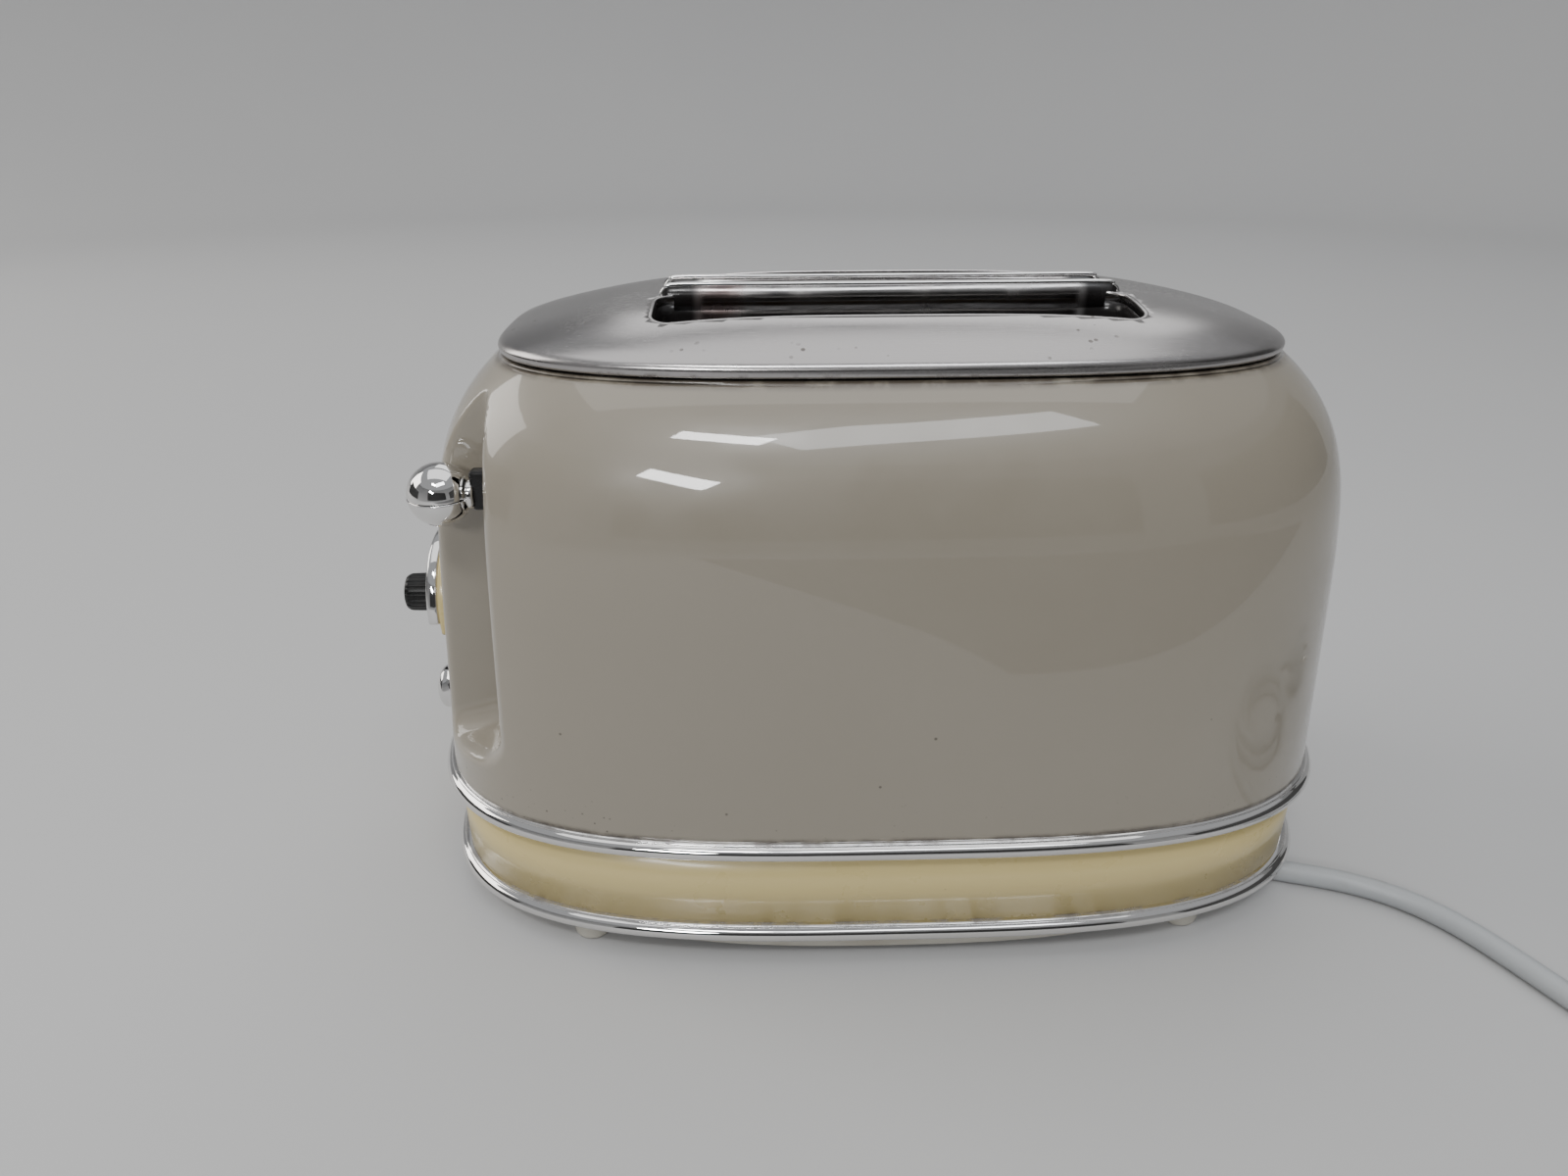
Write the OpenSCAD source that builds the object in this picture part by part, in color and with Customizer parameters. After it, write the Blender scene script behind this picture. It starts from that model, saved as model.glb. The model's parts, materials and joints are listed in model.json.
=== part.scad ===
// Two-slice pop-up toaster with a domed steel lid, a ball lever and a crumb tray.
// Millimetres. X runs along the two slots, Y to the back, Z up from the table.

/* [Overall size] */
// Length over the lower trim ring
ring_len = 290; // [270:1:330]
// Width over the lower trim ring
ring_wid = 172; // [160:1:200]
// Height of the shell's top edge above the table
shell_top = 172; // [160:1:190]
// How square the plan outline is, 2 is an ellipse
plan_power = 3.2; // [2.8:0.1:4]
// How far the shell curves in at its top edge
shoulder_in = 28; // [22:1:32]
// How much of that is an even taper from the upper ring to the top
taper_in = 9; // [4:0.5:12]
// How late the rest of the curve tightens
shoulder_power = 8; // [5:0.5:10]
// Thickness of the shell and of the band
shell_wall = 1.4; // [1:0.1:2.5]

/* [Base and trim] */
// Gap between the skirt and the table
skirt_gap = 3; // [2:0.5:4]
// Height of the base skirt
skirt_h = 5.6; // [5:0.2:8]
// Height of each chrome ring
ring_h = 5.6; // [4:0.2:8]
// How far a ring stands out from the shell
ring_out = 2.6; // [1.5:0.1:4]
// Height of the cream band
band_h = 25.4; // [22:0.2:32]
// How square the base's plan outline is
base_power = 2.6; // [2.4:0.1:3.2]
// Radius of a foot
foot_r = 6; // [4:0.5:8]
// Distance of a foot from the middle, along the length
foot_x = 94; // [80:1:100]
// Distance of a foot from the middle, across the width
foot_y = 68; // [56:1:70]

/* [Lid and slots] */
// Sheet thickness of the lid
lid_wall = 1.2; // [0.8:0.1:2]
// Rise of the lid from the shell's edge to its crown
lid_rise = 16; // [12:0.5:20]
// Clear length of a bread slot
slot_len = 136; // [120:1:140]
// Clear width of a bread slot
slot_wid = 25.5; // [24:0.5:28]
// Distance of each slot from the middle line
slot_y = 22.2; // [21:0.2:25]
// Corner radius of a slot
slot_corner = 6; // [3:0.5:10]
// Sheet thickness of a slot flange
flange_wall = 1; // [0.8:0.1:1.5]
// Thickness of the roll along the inner edge of a slot flange
lip_wid = 2.2; // [1.4:0.2:3]

/* [Lever] */
// Height of the lever at rest
lever_z = 142; // [138:1:144]
// Downward travel of the lever
lever_down = 52; // [40:1:54]
// Extra upward travel that lifts small slices
lever_up = 10; // [4:1:12]
// Distance of the lever from the middle, towards the front
lever_y = 46; // [44:0.5:50]
// Diameter of the ball knob
ball_d = 18; // [16:0.5:21]
// How far the ball sits below the lever stem's middle
ball_drop = 2; // [0:0.5:3]
// Thickness of the lever stem
stem_w = 4.6; // [3:0.2:6]
// Height of the lever stem
stem_h = 11; // [8:0.5:12]
// Clearance on each side of the stem in its slot
stem_clear = 0.7; // [0.3:0.1:1.2]
// Place of the flat channel floor along the length
channel_x = 115.5; // [108:0.5:118]
// Place of the channel's inner wall across the width
channel_y = 35; // [32:0.5:36]

/* [Dial and buttons] */
// Height of the dial's axis
dial_z = 87; // [85:1:94]
// Radius of the dial's half-round plate
plate_r = 23; // [20:0.5:26]
// How far the plate stands out from the ring line
plate_out = -0.8; // [-1.5:0.1:2]
// Thickness of the chrome bezel
bezel_t = 3.6; // [2:0.1:5]
// Width of the chrome bezel's rim
bezel_w = 3.2; // [2:0.1:5]
// Radius of the dial knob at its foot
knob_r = 6.6; // [5:0.1:9]
// Length of the dial knob
knob_len = 13; // [9:0.5:16]
// Radius of the dial shaft
shaft_r = 3; // [2:0.1:4]
// Running clearance between the shaft and its bore
shaft_clear = 0.08; // [0.02:0.01:0.1]
// Height of the row of buttons
button_z = 63; // [58:1:66]
// Distance between neighbouring buttons
button_gap = 22; // [18:0.5:23]
// Radius of a button
button_r = 7.2; // [5:0.1:7.6]
// Travel of a button
button_press = 2.5; // [1.5:0.1:3]
// Clearance around a button in the shell
button_clear = 0.4; // [0.3:0.05:0.8]

/* [Inside] */
// Half the distance between the two chassis plates
chassis_x = 76; // [74:1:80]
// Half the width of the chassis plates
chassis_y = 50; // [48:0.5:51]
// Thickness of the chassis sheet
sheet = 1.2; // [0.8:0.1:1.6]
// Height of the top of the chassis plates
chassis_top = 160; // [150:1:162]
// Distance of the outer heaters from the middle line
heater_y = 44.5; // [43:0.5:46]
// Thickness of a mica heater board
mica = 1; // [0.6:0.1:1.5]
// Height of the bread carriers at rest
rack_z = 98; // [96:1:100]
// Distance of the open bread guides from their slot's middle
guide_open = 12.5; // [11.5:0.5:13]
// Radius of the guide and carrier wires
wire_r = 1; // [0.7:0.1:1.2]
// Radius of the two carriage rods
rod_r = 2.5; // [2:0.1:3]
// Running clearance between the carriage and its rods
rod_clear = 0.06; // [0.02:0.01:0.1]
// Half the width of the crumb tray
tray_x = 72; // [60:1:73]
// Clearance around the crumb tray's front
tray_clear = 0.4; // [0.3:0.1:1]

/* [Mains lead] */
// Diameter of the lead
lead_d = 7; // [6:0.1:7]
// Radius of the middle of the wound coil
coil_mid_r = 38; // [35:1:45]
// Radius of the plug's body
plug_r = 15; // [12:0.5:19]

/* [Hidden] */
$fn = 64;
around = 72;
sides = 10;
floor_z = skirt_gap + skirt_h;
band_z = floor_z + ring_h;
shell_z = band_z + band_h + ring_h;
half_len = ring_len / 2 - ring_out + 1;
half_wid = ring_wid / 2 - ring_out;
deck_z = floor_z + 2.4;
lid_top = shell_top + lid_rise;
lid_len = half_len - shoulder_in - 0.6;
lid_wid = half_wid - shoulder_in - 0.6;
// The dial is the furthest thing to the left, so the body stands a little to the right.
bezel_x = half_len + plate_out;
dial_tip = bezel_x + bezel_t + knob_len - 0.4;
body_shift = (dial_tip - ring_len / 2 - 1) / 2;
ball_x = channel_x + ball_d / 2 + 3.5;
stem_end = ball_x - ball_d / 2 - 1;
collar_end = ball_x - ball_d / 2 + 0.9;
rod_x = 88;
rod_y = 18;
tab_z = 42;
carriage_x = 82;
boss_z = 112;
boss_h = 12;
keeper_z = 120;
board_x = 106;
magnet_top = keeper_z - lever_down - 0.3;
// The lead moves with the right end, in proportion to the length, so its trough stays in the base.
usual_len = 290;
lead_share = 0.43;
lead_shift = (ring_len - usual_len) * lead_share;
coil_at = [258 + lead_shift, -110];
coil_wid = 2 * lead_d;
plug_at = [coil_at[0] + coil_mid_r + lead_d / 2, -66];
// The lead from the gland to the coil, a list of places chosen by hand.
lead_route = [for (p = [
  [104, -46, 8], [107, -46, 8], [112, -46.5, 7.2], [117, -47.5, 6], [122, -48.7, 4.7], [128, -50.5, 3.8],
  [134, -52.4, 3.5], [140, -54.2, 3.5], [147, -56.3, 3.5], [155, -59.3, 3.5], [163, -63.5, 3.5],
  [170, -68.7, 3.5], [176, -74.8, 3.5], [181, -81.7, 3.5], [185.2, -89, 3.5], [189, -96.5, 3.5], [192.6, -104, 3.5],
  [196.3, -111.5, 3.5], [200.5, -119, 3.5], [205.6, -126.3, 3.5], [211.8, -133, 3.5],
  [219, -138.8, 3.5], [227.3, -143.8, 3.5], [237, -148, 3.5], [247.5, -150.7, 3.5],
  [258, -151.5, 3.5]]) p + [lead_shift, 0, 0]];
// The end of the lead from the top of the coil to the plug.
tail_route = [for (p = [
  [299.5, -110, 10.5], [299.5, -106, 10.8], [299.5, -101, 11.6], [299.5, -96, 12.8],
  [299.5, -91, 14], [299.5, -86, 14.8], [299.5, -82, 15.1], [299.5, -80, 15.1]]) p + [lead_shift, 0, 0]];

// ---- Shared shapes ----

// A point of the plan outline with half sizes a and b.
function oval_point(a, b, angle, power = plan_power) =
  let (r = pow(pow(abs(cos(angle)), power) + pow(abs(sin(angle)), power), -1 / power))
  [a * r * cos(angle), b * r * sin(angle)];

function oval_loop(inset, z) = [for (i = [0 : around - 1])
  concat(oval_point(half_len - inset, half_wid - inset, i * 360 / around), [z])];

// The base is rounder in plan than the rings above it.
function base_loop(inset, z) = [for (i = [0 : around - 1])
  concat(oval_point(half_len - inset - 2, half_wid - inset, i * 360 / around, base_power), [z])];

// How far the shell's outside lies inside its widest outline at height z.
function shoulder(z) = let (rise = (z - shell_z) / (shell_top - shell_z))
  taper_in * rise + (shoulder_in - taper_in) * pow(rise, shoulder_power);

// A closed solid through loops of equal length, with flat ends.
module skin(loops) {
  n = len(loops[0]);
  last = (len(loops) - 1) * n;
  polyhedron(
    points = [for (loop = loops) each loop],
    faces = concat(
      [[for (i = [0 : n - 1]) i]],
      [[for (i = [n - 1 : -1 : 0]) last + i]],
      [for (k = [0 : len(loops) - 2]) for (i = [0 : n - 1])
        [k * n + i, (k + 1) * n + i, (k + 1) * n + (i + 1) % n]],
      [for (k = [0 : len(loops) - 2]) for (i = [0 : n - 1])
        [k * n + i, (k + 1) * n + (i + 1) % n, k * n + (i + 1) % n]]));
}

// A closed ring through loops of equal length, whose last loop joins the first.
module hoop(loops) {
  n = len(loops[0]);
  m = len(loops);
  polyhedron(
    points = [for (loop = loops) each loop],
    faces = concat(
      [for (k = [0 : m - 1]) for (i = [0 : n - 1])
        [k * n + i, ((k + 1) % m) * n + i, ((k + 1) % m) * n + (i + 1) % n]],
      [for (k = [0 : m - 1]) for (i = [0 : n - 1])
        [k * n + i, ((k + 1) % m) * n + (i + 1) % n, k * n + (i + 1) % n]]));
}

// Heights at which the shell has a loop of points, closer together near the top.
function shell_heights(from) = [for (i = [0 : 10]) from + (shell_top - from) * sin(i * 9)];

module shell_solid(inset) {
  skin([for (z = shell_heights(shell_z)) oval_loop(shoulder(z) + inset, z)]);
}

module shift() {
  translate([body_shift, 0, 0]) children();
}

// A rounded rectangle of full size l by w, centred.
module rounded(l, w, r) {
  square([l - 2 * r, w], center = true);
  square([l, w - 2 * r], center = true);
  for (x = [-1, 1], y = [-1, 1])
    translate([x * (l / 2 - r), y * (w / 2 - r)]) circle(r = r);
}

// A box from one corner to the other.
module block(low, high) {
  translate(low) cube(high - low);
}

// Children drawn along Z are laid along -X at height z and place y.
module facing_left(x, y, z) {
  translate([-x, y, z]) rotate([0, -90, 0]) children();
}

// A round tube of points along a route.
module lead_tube(route) {
  n = len(route);
  function unit(v) = v / norm(v);
  function heading(k) = unit(route[min(k + 1, n - 1)] - route[max(k - 1, 0)]);
  function side_of(k) = unit(cross(heading(k), [0, 0, 1]));
  skin([for (k = [0 : n - 1])
    let (s = side_of(k), u = cross(side_of(k), heading(k)))
    [for (i = [0 : sides - 1])
      route[k] + lead_d / 2 * (cos(i * 360 / sides) * u + sin(i * 360 / sides) * s)]]);
}

// ---- Outside ----

// Share of the lid's half size, and rise above the shell's top edge, from the rim to the crown.
lid_curve = [[0.985, 1.6], [0.996, 2], [1, 3.2], [0.997, 4.3], [0.985, 5.4], [0.96, 6.5], [0.92, 7.9],
  [0.84, 10.2], [0.73, 12.8], [0.63, 14.4], [0.5, 15.4], [0.3, 15.8], [0.15, 16]];

function lid_loop(step, inset, z) = [for (i = [0 : around - 1])
  concat(oval_point(lid_len * step[0] - inset, lid_wid * step[0] - inset, i * 360 / around), [z])];

module top_cover() {
  outside = [for (step = lid_curve) lid_loop(step, 0, shell_top + step[1] * lid_rise / 16)];
  inside = [for (i = [len(lid_curve) - 1 : -1 : 0]) lid_loop(lid_curve[i], lid_wall,
    shell_top + lid_curve[i][1] * lid_rise / 16 - (i > 3 ? lid_wall : 0))];
  color([0.72, 0.71, 0.71]) shift() difference() {
    skin(concat(inside, outside));
    for (side = [-1, 1])
      translate([0, side * slot_y, shell_top]) linear_extrude(lid_rise + 10)
        rounded(slot_len + 2 * flange_wall + 0.4, slot_wid + 2 * flange_wall + 0.4, slot_corner + 1);
  }
}

// A liner for the slot, with a roll that stands above the lid along its inner edge.
module slot_flange(side) {
  liner_top = shell_top + lid_rise - 2.6;
  roll_y = -side * (slot_wid + flange_wall) / 2;
  roll_x = slot_len / 2 - slot_corner;
  roll_z = lid_top + 0.3 + lip_wid / 2;
  color([0.82, 0.82, 0.83]) shift() translate([0, side * slot_y, 0]) {
    difference() {
      translate([0, 0, chassis_top + 0.4]) linear_extrude(liner_top - chassis_top - 0.4)
        rounded(slot_len + 2 * flange_wall, slot_wid + 2 * flange_wall, slot_corner + flange_wall);
      translate([0, 0, chassis_top]) linear_extrude(lid_top) rounded(slot_len, slot_wid, slot_corner);
    }
    block([-roll_x, roll_y - flange_wall / 2, liner_top - 1], [roll_x, roll_y + flange_wall / 2, roll_z]);
    translate([-roll_x, roll_y, roll_z]) rotate([0, 90, 0]) cylinder(r = lip_wid / 2, h = 2 * roll_x);
  }
}

// The space of the lever's channel, grown by a wall.
module channel_space(wall) {
  low_z = shell_z + 14;
  reach = 100;
  translate([-channel_x + wall, 0, 0]) rotate([0, -90, 0]) linear_extrude(reach) {
    translate([low_z - wall, -reach]) square([110 + wall, reach - channel_y - 8]);
    translate([low_z - wall + 8, -reach]) square([102, reach - channel_y + wall]);
    translate([low_z + 8, -channel_y - 8]) circle(r = 8 + wall);
  }
}

module lever_slot_cut() {
  block([-140, -lever_y - stem_w / 2 - stem_clear, lever_z - lever_down - stem_h / 2 - 2],
    [-90, -lever_y + stem_w / 2 + stem_clear, lever_z + lever_up + stem_h / 2 + 2]);
}

module body_shell() {
  heights = shell_heights(shell_z);
  outside = [for (z = heights) oval_loop(shoulder(z), z)];
  inside = [for (i = [len(heights) - 1 : -1 : 0]) oval_loop(shoulder(heights[i]) + shell_wall, heights[i])];
  color([0.72, 0.67, 0.61]) shift() difference() {
    hoop(concat(outside, inside));
    channel_space(shell_wall);
    lever_slot_cut();
    facing_left(half_len - 24, 0, dial_z) cylinder(r = shaft_r + 1.5, h = 40);
    for (y = [-button_gap, 0, button_gap])
      facing_left(half_len - 24, y, button_z) cylinder(r = button_r + button_clear, h = 40);
  }
}

module lever_channel() {
  color([0.7, 0.65, 0.59]) shift() difference() {
    intersection() {
      shell_solid(0);
      channel_space(shell_wall);
    }
    channel_space(0);
    lever_slot_cut();
  }
}

// Stand-out and height of a trim ring's outline.
ring_outline = [[-4, 0], [0.4, 0], [1.7, 0.4], [2.4, 1.2], [2.6, 2.2], [2.2, 3.1], [1.4, 3.5],
  [1.6, 4.2], [1.3, 5], [0.5, 5.6], [-4, 5.6]];

module trim_ring(z0) {
  hoop([for (p = ring_outline) oval_loop(-p[0] * (p[0] > 0 ? ring_out / 2.6 : 1), z0 + p[1] * ring_h / 5.6)]);
}

module upper_trim_ring() {
  color([0.88, 0.88, 0.9]) shift() trim_ring(band_z + band_h);
}

module lower_trim_ring() {
  color([0.88, 0.88, 0.9]) shift() trim_ring(floor_z);
}

module band_hoop() {
  hoop([for (p = [[0.8, 0], [0.8, band_h], [0.8 + shell_wall, band_h], [0.8 + shell_wall, 0]])
    oval_loop(p[0], band_z + p[1])]);
}

module tray_window(gap) {
  block([-tray_x - 2 - gap, 20, band_z + 3 - gap], [tray_x + 2 + gap, 120, band_z + 17 + gap]);
}

module base_band() {
  color([0.9, 0.84, 0.64]) shift() difference() {
    band_hoop();
    tray_window(tray_clear);
  }
}

module base_tray() {
  low = [82 + lead_shift, -55.5];
  high = [123.5 + lead_shift, -38];
  wall = 1.5;
  roof = floor_z + 12;
  color([0.86, 0.85, 0.8]) shift() difference() {
    union() {
      difference() {
        union() {
          skin([base_loop(2, skirt_gap), base_loop(1, skirt_gap + 1.2), base_loop(0.8, floor_z)]);
          skin([oval_loop(5, floor_z), oval_loop(5, deck_z)]);
        }
        skin([base_loop(4.5, skirt_gap - 1), base_loop(4.5, floor_z - 0.2)]);
      }
      // The trough that the lead runs out of, and the wall that holds its gland.
      block([low[0], low[1], floor_z], [high[0], high[1], roof + wall]);
      block([low[0], low[1], 1], [low[0] + wall, high[1], floor_z + 1]);
    }
    block([low[0] + wall, low[1] + wall, -1], [high[0] - wall, high[1] - wall, roof]);
    block([high[0] - 5, -57, -1], [half_len + 17, -43, floor_z - 0.2]);
    translate([low[0] - 1, lead_route[0][1], lead_route[0][2]]) rotate([0, 90, 0])
      cylinder(r = 4.6, h = 4);
    for (x = [-foot_x, foot_x], y = [-foot_y, foot_y])
      translate([x, y, 0]) cylinder(r = foot_r + 0.05, h = floor_z - 0.2);
    for (y = [-30, 30]) translate([0, y, 0]) cylinder(r = 1.6, h = 30);
  }
}

module foot(x, y) {
  color([0.84, 0.83, 0.79]) shift() translate([x * foot_x, y * foot_y, 0]) {
    cylinder(r1 = foot_r - 1, r2 = foot_r, h = 1);
    translate([0, 0, 1]) cylinder(r = foot_r, h = floor_z - 1.2);
  }
}

module base_screw(side) {
  color([0.7, 0.7, 0.72]) shift() translate([0, side * 30, 0]) {
    translate([0, 0, floor_z - 2.2]) cylinder(r = 3.4, h = 2);
    translate([0, 0, floor_z - 0.2]) cylinder(r = 1.55, h = 4);
  }
}

// ---- Inside ----

// A ledge on a chassis plate that the crumb tray slides on.
module tray_rail(side) {
  inner = tray_x - 4;
  low = [side < 0 ? -chassis_x : inner, -chassis_y, band_z + 1];
  block(low, low + [chassis_x - inner, 2 * chassis_y, 1.6]);
}

module chassis_left() {
  color([0.75, 0.75, 0.77]) shift() {
    difference() {
      block([-chassis_x - sheet, -chassis_y, deck_z], [-chassis_x, chassis_y, chassis_top]);
      for (side = [-1, 1])
        block([-chassis_x - 5, side * slot_y - 4, tab_z + 2.5],
          [-chassis_x + 5, side * slot_y + 4, rack_z + lever_up + 8]);
    }
    difference() {
      block([-board_x, -32, tab_z], [-chassis_x - sheet, 32, tab_z + 2]);
      for (side = [-1, 1]) translate([-rod_x, side * rod_y, tab_z - 1]) cylinder(r = rod_r, h = 4);
    }
    difference() {
      block([-rod_x - 6, -26, chassis_top - 2], [-chassis_x - sheet, 26, chassis_top]);
      for (side = [-1, 1]) translate([-rod_x, side * rod_y, chassis_top - 3]) cylinder(r = rod_r, h = 4);
    }
    tray_rail(-1);
  }
}

module chassis_right() {
  color([0.75, 0.75, 0.77]) shift() {
    block([chassis_x, -chassis_y, deck_z], [chassis_x + sheet, chassis_y, chassis_top]);
    tray_rail(1);
  }
}

module reflector(side) {
  y = side * (chassis_y - 0.6);
  color([0.8, 0.8, 0.82]) shift() {
    block([-chassis_x, y - 0.5, 36], [chassis_x, y + 0.5, chassis_top - 4]);
  }
}

module heater(y) {
  color([0.78, 0.72, 0.58]) shift() difference() {
    block([-chassis_x, y - mica / 2, 38], [chassis_x, y + mica / 2, 152]);
    for (x = [-60 : 20 : 60], z = [38, 152]) translate([x, y - 2, z]) rotate([-90, 0, 0]) cylinder(r = 2, h = 4);
  }
}

module bread_guide(y) {
  low = 40;
  high = chassis_top - 2;
  reach = slot_len / 2 - 6;
  color([0.8, 0.8, 0.82]) shift() {
    for (z = [low, (low + high) / 2, high])
      translate([-reach - wire_r, y, z]) rotate([0, 90, 0]) cylinder(r = wire_r, h = 2 * (reach + wire_r));
    for (i = [-3 : 3]) translate([i * reach / 3, y, low]) cylinder(r = wire_r, h = high - low);
  }
}

module bread_rack(side) {
  y = side * slot_y;
  color([0.7, 0.7, 0.72]) shift() {
    block([-carriage_x + 1, y - 3, rack_z], [chassis_x - 8, y + 3, rack_z + 1.6]);
    for (i = [-3 : 3]) block([i * 20 - 1, y - 6.5, rack_z], [i * 20 + 1, y + 6.5, rack_z + 3]);
  }
}

module carriage() {
  color([0.62, 0.62, 0.65]) shift() difference() {
    union() {
      block([-carriage_x - 1, -30, rack_z], [-carriage_x + 1, 30, lever_z + 4]);
      block([-carriage_x - 1, -lever_y - 4, lever_z - stem_h / 2], [-carriage_x + 1, -29, lever_z + 4]);
      block([-board_x + 4, 2, keeper_z + 2], [-carriage_x, 12, keeper_z + 4]);
      for (side = [-1, 1]) {
        translate([-rod_x, side * rod_y, boss_z]) cylinder(r = 5, h = boss_h);
        block([-rod_x, side * rod_y - 4, boss_z], [-carriage_x, side * rod_y + 4, boss_z + boss_h]);
      }
    }
    for (side = [-1, 1]) translate([-rod_x, side * rod_y, rack_z]) cylinder(r = rod_r + rod_clear, h = 40);
  }
}

module lever_stem() {
  color([0.05, 0.05, 0.05]) shift() {
    block([-stem_end, -lever_y - stem_w / 2, lever_z - stem_h / 2],
      [-carriage_x - 1, -lever_y + stem_w / 2, lever_z + stem_h / 2]);
  }
}

module lever_collar() {
  color([0.88, 0.88, 0.9]) shift() facing_left(stem_end, -lever_y, lever_z - ball_drop)
    cylinder(r1 = 4.6, r2 = 4, h = collar_end - stem_end);
}

module ball_half(side) {
  r = ball_d / 2;
  color([0.9, 0.9, 0.92]) shift() translate([-ball_x, -lever_y, lever_z - ball_drop]) intersection() {
    sphere(r = r);
    translate([-r - 1, -r - 1, side > 0 ? 0 : -r - 1]) cube([ball_x - collar_end + r + 1, 2 * r + 2, r + 1]);
  }
}

module rod(side) {
  color([0.85, 0.85, 0.87]) shift() translate([-rod_x, side * rod_y, tab_z])
    cylinder(r = rod_r - 0.01, h = chassis_top - tab_z);
}

module return_spring() {
  low = tab_z + 2;
  turns = 9;
  steps = 14;
  wire = 0.6;
  mid_r = 4;
  rise = (boss_z - low - 2 * wire - 0.4) / (turns * steps);
  color([0.6, 0.6, 0.62]) shift() translate([-rod_x, -rod_y, low + wire + 0.2])
    skin([for (k = [0 : turns * steps])
      [for (i = [0 : 5]) let (r = mid_r + wire * cos(i * 60))
        [r * cos(-k * 360 / steps), r * sin(-k * 360 / steps), k * rise + wire * sin(i * 60)]]]);
}

module latch_magnet() {
  color([0.45, 0.3, 0.2]) shift() {
    block([-board_x + 5, 2, tab_z + 2], [-rod_x - 3, 12, tab_z + 5]);
    translate([-board_x + 10, 7, tab_z + 5]) cylinder(r = 4.8, h = magnet_top - tab_z - 8);
    block([-board_x + 5, 2, magnet_top - 3], [-rod_x - 3, 12, magnet_top]);
  }
}

module latch_keeper() {
  color([0.5, 0.5, 0.52]) shift() block([-board_x + 5, 2.5, keeper_z], [-rod_x - 4, 11.5, keeper_z + 2]);
}

module control_board() {
  color([0.15, 0.38, 0.2]) shift() block([-board_x, -31, tab_z + 2], [-board_x + 1.6, 31, 112]);
}

// ---- Dial and buttons ----

// The half-round outline of the dial, in the plane of the end.
module dial_outline(r, flat) {
  intersection() {
    circle(r = r);
    translate([-flat, -r]) square([r + flat, 2 * r]);
  }
}

module dial_plate() {
  color([0.92, 0.86, 0.62]) shift() difference() {
    facing_left(bezel_x - 12, 0, dial_z) linear_extrude(12) dial_outline(plate_r, shaft_r + 1.5);
    shell_solid(0);
    facing_left(bezel_x - 14, 0, dial_z) cylinder(r = shaft_r + shaft_clear, h = 20);
  }
}

module dial_bezel() {
  color([0.9, 0.9, 0.92]) shift() facing_left(bezel_x, 0, dial_z) linear_extrude(bezel_t) difference() {
    dial_outline(plate_r, 0.5);
    circle(r = plate_r - bezel_w);
  }
}

module dial_knob() {
  grips = 16;
  neck = 2.4;
  color([0.04, 0.04, 0.04]) shift() facing_left(bezel_x + bezel_t - 0.4 - neck, 0, dial_z) difference() {
    union() {
      cylinder(r = knob_r - 1.2, h = neck);
      translate([0, 0, neck]) linear_extrude(knob_len - 1) difference() {
        circle(r = knob_r);
        for (i = [0 : grips - 1]) rotate(i * 360 / grips) translate([knob_r + 0.3, 0]) circle(r = 0.7);
      }
      translate([0, 0, neck + knob_len - 1]) cylinder(r = knob_r - 0.8, h = 1);
    }
    translate([0, 0, -1]) cylinder(r = shaft_r + 0.02, h = neck + knob_len - 1);
  }
}

module dial_shaft() {
  color([0.6, 0.6, 0.62]) shift() facing_left(board_x + 16.3, 0, dial_z)
    cylinder(r = shaft_r, h = bezel_x + bezel_t + knob_len - 5 - board_x - 16.3);
}

module potentiometer() {
  color([0.25, 0.25, 0.27]) shift() facing_left(board_x, 0, dial_z) cylinder(r = 9, h = 16);
}

module button(y) {
  face = half_len + 0.2;
  stop = face - 7;
  dome = 2.6;
  ball = (button_r * button_r + dome * dome) / (2 * dome);
  color([0.9, 0.9, 0.92]) shift() {
    facing_left(stop, y, button_z) cylinder(r = button_r, h = face - stop);
    facing_left(face, y, button_z) intersection() {
      translate([0, 0, dome - ball]) sphere(r = ball);
      cylinder(r = button_r, h = dome + 1);
    }
    facing_left(stop, y, button_z) cylinder(r = button_r + 1.3, h = 1.4);
    facing_left(board_x + 24.3 + button_press, y, button_z)
      cylinder(r = 2.4, h = stop - board_x - 24.3 - button_press);
  }
}

module button_switches() {
  color([0.12, 0.12, 0.13]) shift()
    block([-board_x - 24, -button_gap - 6, button_z - 6], [-board_x, button_gap + 6, button_z + 6]);
}

// ---- Crumb tray ----

module crumb_tray() {
  low = band_z + 3;
  color([0.78, 0.78, 0.8]) shift() difference() {
    block([-tray_x, -chassis_y + 2, low], [tray_x, half_wid - 7, low + 7]);
    block([-tray_x + 0.8, -chassis_y + 2.8, low + 0.8], [tray_x - 0.8, half_wid - 7.8, low + 8]);
  }
}

module crumb_tray_front() {
  color([0.9, 0.84, 0.64]) shift() {
    intersection() {
      band_hoop();
      tray_window(0);
    }
    block([-8, half_wid - 7, band_z + 4], [8, half_wid - 2, band_z + 9]);
  }
}

module crumb_tray_pull() {
  color([0.88, 0.88, 0.9]) shift()
    block([-16, half_wid - 0.8, band_z + 9], [16, half_wid + 2, band_z + 11.5]);
}

// ---- Mains lead ----

module terminal_block() {
  color([0.9, 0.9, 0.88]) shift() difference() {
    block([84, -8, deck_z], [108, 16, deck_z + 14]);
    for (y = [-2, 4, 10]) translate([90, y, deck_z + 6]) cylinder(r = 1.8, h = 10);
  }
}

module cord_gland() {
  length = 22;
  color([0.9, 0.9, 0.9]) shift() translate(lead_route[0] - [length, 0, 0]) rotate([0, 90, 0]) {
    cylinder(r = 4.55, h = 1.5);
    translate([0, 0, 1.5]) cylinder(r = 5.6, h = 2);
    translate([0, 0, 3.5]) cylinder(r1 = 5.2, r2 = 4.2, h = length - 3.5);
  }
}

module cord_lead() {
  color([0.93, 0.93, 0.93]) shift() lead_tube(lead_route);
}

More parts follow.
